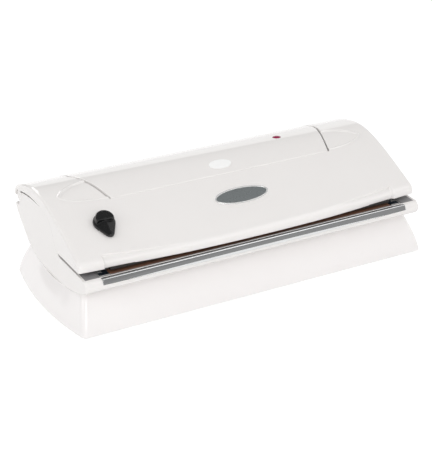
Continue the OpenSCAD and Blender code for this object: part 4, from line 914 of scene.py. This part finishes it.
def knob_shape():
    """Rings of the knob from its underside up. Angles run from the pointer's direction."""
    angles = np.linspace(0, 2 * math.pi, 180, endpoint=False)
    share = np.linspace(0, 1, 60)[:, None]
    centre, radius = (POINTER_REACH - TIP_R) * share, KNOB_R + (TIP_R - KNOB_R) * share
    chord = np.maximum(radius**2 - (centre * np.sin(angles)) ** 2, 0)
    skirt = (centre * np.cos(angles) + np.sqrt(chord)).max(axis=0)
    # The ridge is as wide as the skirt at its foot and narrows to its crest
    along = np.linspace(0, POINTER_REACH - 0.3, 40)
    half_width = [max(abs(skirt * np.sin(angles)) * (abs(skirt * np.cos(angles) - v) < 0.6))
                  for v in along]
    half_width = np.maximum.accumulate(half_width[::-1])[::-1]
    crest = RIDGE_START + (RIDGE_END - RIDGE_START) * along / POINTER_REACH
    back = np.radians(np.linspace(0, 360, 90, endpoint=False))
    grip_v = np.minimum(-0.6 + GRIP_R * np.cos(back), 2.2)
    grip = to_outline(np.c_[GRIP_R * np.sin(back), grip_v], angles)
    rings = [(skirt - 0.4, 0.5), (skirt, 0.9), (skirt, 2.6), (skirt - 0.12, 3.3),
             (skirt - 0.45, SKIRT_H)]
    for z in np.r_[np.linspace(SKIRT_H + 0.01, RIDGE_START, 26),
                   np.linspace(RIDGE_START + 0.2, KNOB_TOP - TOP_EDGE_R, 4)]:
        wide = half_width * np.clip(1 - (z - SKIRT_H) / (crest - SKIRT_H), 0, 1) - 0.45
        there, pointer = wide > 0, 0
        if z < RIDGE_START and there.sum() > 2:
            flank = np.c_[wide[there], along[there]]
            pointer = to_outline(np.vstack([flank, flank[::-1] * (-1, 1)]), angles)
        rings.append((np.maximum(grip * (1 - 0.012 * (z - SKIRT_H)), pointer), z))
    last = rings[-1][0]
    for turned in np.radians((20, 40, 60, 80, 90)):
        rings.append((last - TOP_EDGE_R * (1 - math.cos(turned)),
                      KNOB_TOP - TOP_EDGE_R * (1 - math.sin(turned))))
    for shrink in (0.8, 0.5, 0.2):
        rings.append((rings[-1][0] * shrink, KNOB_TOP + 0.15 * (1 - shrink)))
    count = len(angles)
    points = [np.c_[reach * np.sin(angles), -reach * np.cos(angles), np.full(count, z)]
              for reach, z in rings]
    return np.vstack(points), stacked_faces(count, len(rings))


# Satin black ABS: soft highlight, faint blue cast, fine grain
black_abs = finish("Satin_black_ABS", "#070708", "#0B0B0D", (0.22, 0.3), 4, 0.5, 0.006, IOR=1.54)
# Nitrile rubber ring
nitrile = finish("Nitrile_rubber", "#1C1C1E", "#242425", (0.5, 0.65), 2, 0.4, 0.005, IOR=1.52)
knob_points, knob_faces = knob_shape()
knob = mesh_piece("valve_knob_moulding", on_top(knob_points, *KNOB_AT), knob_faces, black_abs,
                  "valve", "black_plastic")
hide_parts("valve_knob")
dress(base_abs, "valve_body")
dress(plated_steel, "valve_spindle")
dress(nitrile, "valve_o_ring")


# Table and light: white paper on the table, four large soft lamps at a plain level, and a
# grey room with a white backdrop on the machine's right, which only reflections show.
BODY_MIDDLE = Vector((0, 0, 0.05))


def soft_lamp(name, place_m, size_m, watts):
    lamp = bpy.data.lights.new(name, "AREA")
    lamp.shape = "RECTANGLE"
    lamp.size, lamp.size_y = size_m
    lamp.energy = watts
    holder = bpy.data.objects.new(name, lamp)
    holder.location = place_m
    holder.rotation_euler = (BODY_MIDDLE - Vector(place_m)).to_track_quat("-Z", "Y").to_euler()
    bpy.context.scene.collection.objects.link(holder)


soft_lamp("overhead_softbox", (0.95, -0.9, 1.7), (1.2, 0.8), 4.4)
soft_lamp("rear_softbox", (-0.4, 1.7, 1.0), (1.4, 0.8), 9.5)
soft_lamp("front_softbox", (-0.6, -1.9, 1.2), (1.2, 1.0), 15.0)
soft_lamp("left_softbox", (-2.0, -0.2, 1.1), (1.0, 0.8), 4.4)

floor_mesh = bpy.data.meshes.new("table_top")
floor_mesh.from_pydata([(-6, -6, 0), (6, -6, 0), (6, 6, 0), (-6, 6, 0)], [], [(0, 1, 2, 3)])
floor = bpy.data.objects.new("table_top", floor_mesh)
bpy.context.scene.collection.objects.link(floor)
paper, paper_tree, paper_shader = begin_material("White_backing_paper", Roughness=0.9,
                                                 Emission_Color=linear("#FFFFFF"))
floor_mesh.materials.append(paper)
# To the eye and in reflections the paper glows a little by itself, so its shadows stay light
paper_ray = add_node(paper_tree, "LightPath")
seen = add_node(paper_tree, "Math", {"operation": "MAXIMUM"},
                {0: paper_ray.outputs["Is Camera Ray"], 1: paper_ray.outputs["Is Glossy Ray"]})
paper_colour = add_node(paper_tree, "Mix", {"data_type": "RGBA"}, {0: seen.outputs[0]})
paper_colour.inputs[6].default_value = linear("#F7F7F7")
paper_colour.inputs[7].default_value = linear("#BCBCBC")
paper_glow = add_node(paper_tree, "Math", {"operation": "MULTIPLY", 1: 0.6}, {0: seen.outputs[0]})
paper_tree.links.new(paper_colour.outputs[2], paper_shader.inputs["Base Color"])
paper_tree.links.new(paper_glow.outputs[0], paper_shader.inputs["Emission Strength"])

world = bpy.data.worlds.new("studio")
bpy.context.scene.world = world
world.use_nodes = True
studio = world.node_tree
backdrop = studio.nodes["Background"]
backdrop.inputs["Color"].default_value = (1, 1, 1, 1)
look = add_node(studio, "TexCoord")
direction = add_node(studio, "SeparateXYZ", {}, {0: look.outputs["Generated"]})
# The backdrop's upper edge climbs from the table's level in front and behind to the right
slant = add_node(studio, "Math", {"operation": "MULTIPLY_ADD", 1: -0.8},
                 {0: direction.outputs["X"], 2: direction.outputs["Z"]})
ceiling = add_node(studio, "MapRange", {"From Min": -0.09, "From Max": -0.06, "To Min": 1.0,
                                        "To Max": 0.3}, {"Value": slant.outputs[0]})
# On the side of the machine's front the backdrop fades out
room = add_node(studio, "MapRange", {"From Min": -0.7, "From Max": -0.3, "To Min": 0.35,
                                     "To Max": 1.0}, {"Value": direction.outputs["Y"]})
walls = add_node(studio, "Math", {"operation": "MINIMUM"},
                 {0: ceiling.outputs[0], 1: room.outputs[0]})
ray = add_node(studio, "LightPath")
# What isn't a reflection is lit by a plain even room, and the eye sees a white background
lit = add_node(studio, "Mix", {"data_type": "FLOAT"}, {0: ray.outputs["Is Glossy Ray"],
                                                       3: walls.outputs[0]})
lit.inputs[2].default_value = 0.62
level = add_node(studio, "Mix", {"data_type": "FLOAT"}, {0: ray.outputs["Is Camera Ray"],
                                                         2: lit.outputs[0]})
level.inputs[3].default_value = 1.0
studio.links.new(level.outputs[0], backdrop.inputs["Strength"])


# The camera stands to the left in front of the machine and looks down at it.
CAMERA_AZIMUTH, CAMERA_ELEVATION = math.radians(29.19), math.radians(24.85)
CAMERA_DISTANCE = 1.3405
LENS_PX, LONG_SIDE_PX, SHIFT_X_PX, SHIFT_Y_PX = 1317.4, 457, -8.6, -10.97
camera_data = bpy.data.cameras.new("camera")
camera_data.sensor_width = 36.0
camera_data.lens = 36.0 * LENS_PX / LONG_SIDE_PX
camera_data.shift_x = SHIFT_X_PX / LONG_SIDE_PX
camera_data.shift_y = SHIFT_Y_PX / LONG_SIDE_PX
camera = bpy.data.objects.new("camera", camera_data)
aim = Vector((0, -0.009, 0.050))
away = Vector((-math.sin(CAMERA_AZIMUTH) * math.cos(CAMERA_ELEVATION),
               -math.cos(CAMERA_AZIMUTH) * math.cos(CAMERA_ELEVATION),
               math.sin(CAMERA_ELEVATION)))
camera.location = aim + away * CAMERA_DISTANCE
camera.rotation_euler = (-away).to_track_quat("-Z", "Y").to_euler()
bpy.context.scene.collection.objects.link(camera)
bpy.context.scene.camera = camera
bpy.context.scene.view_settings.view_transform = "Standard"
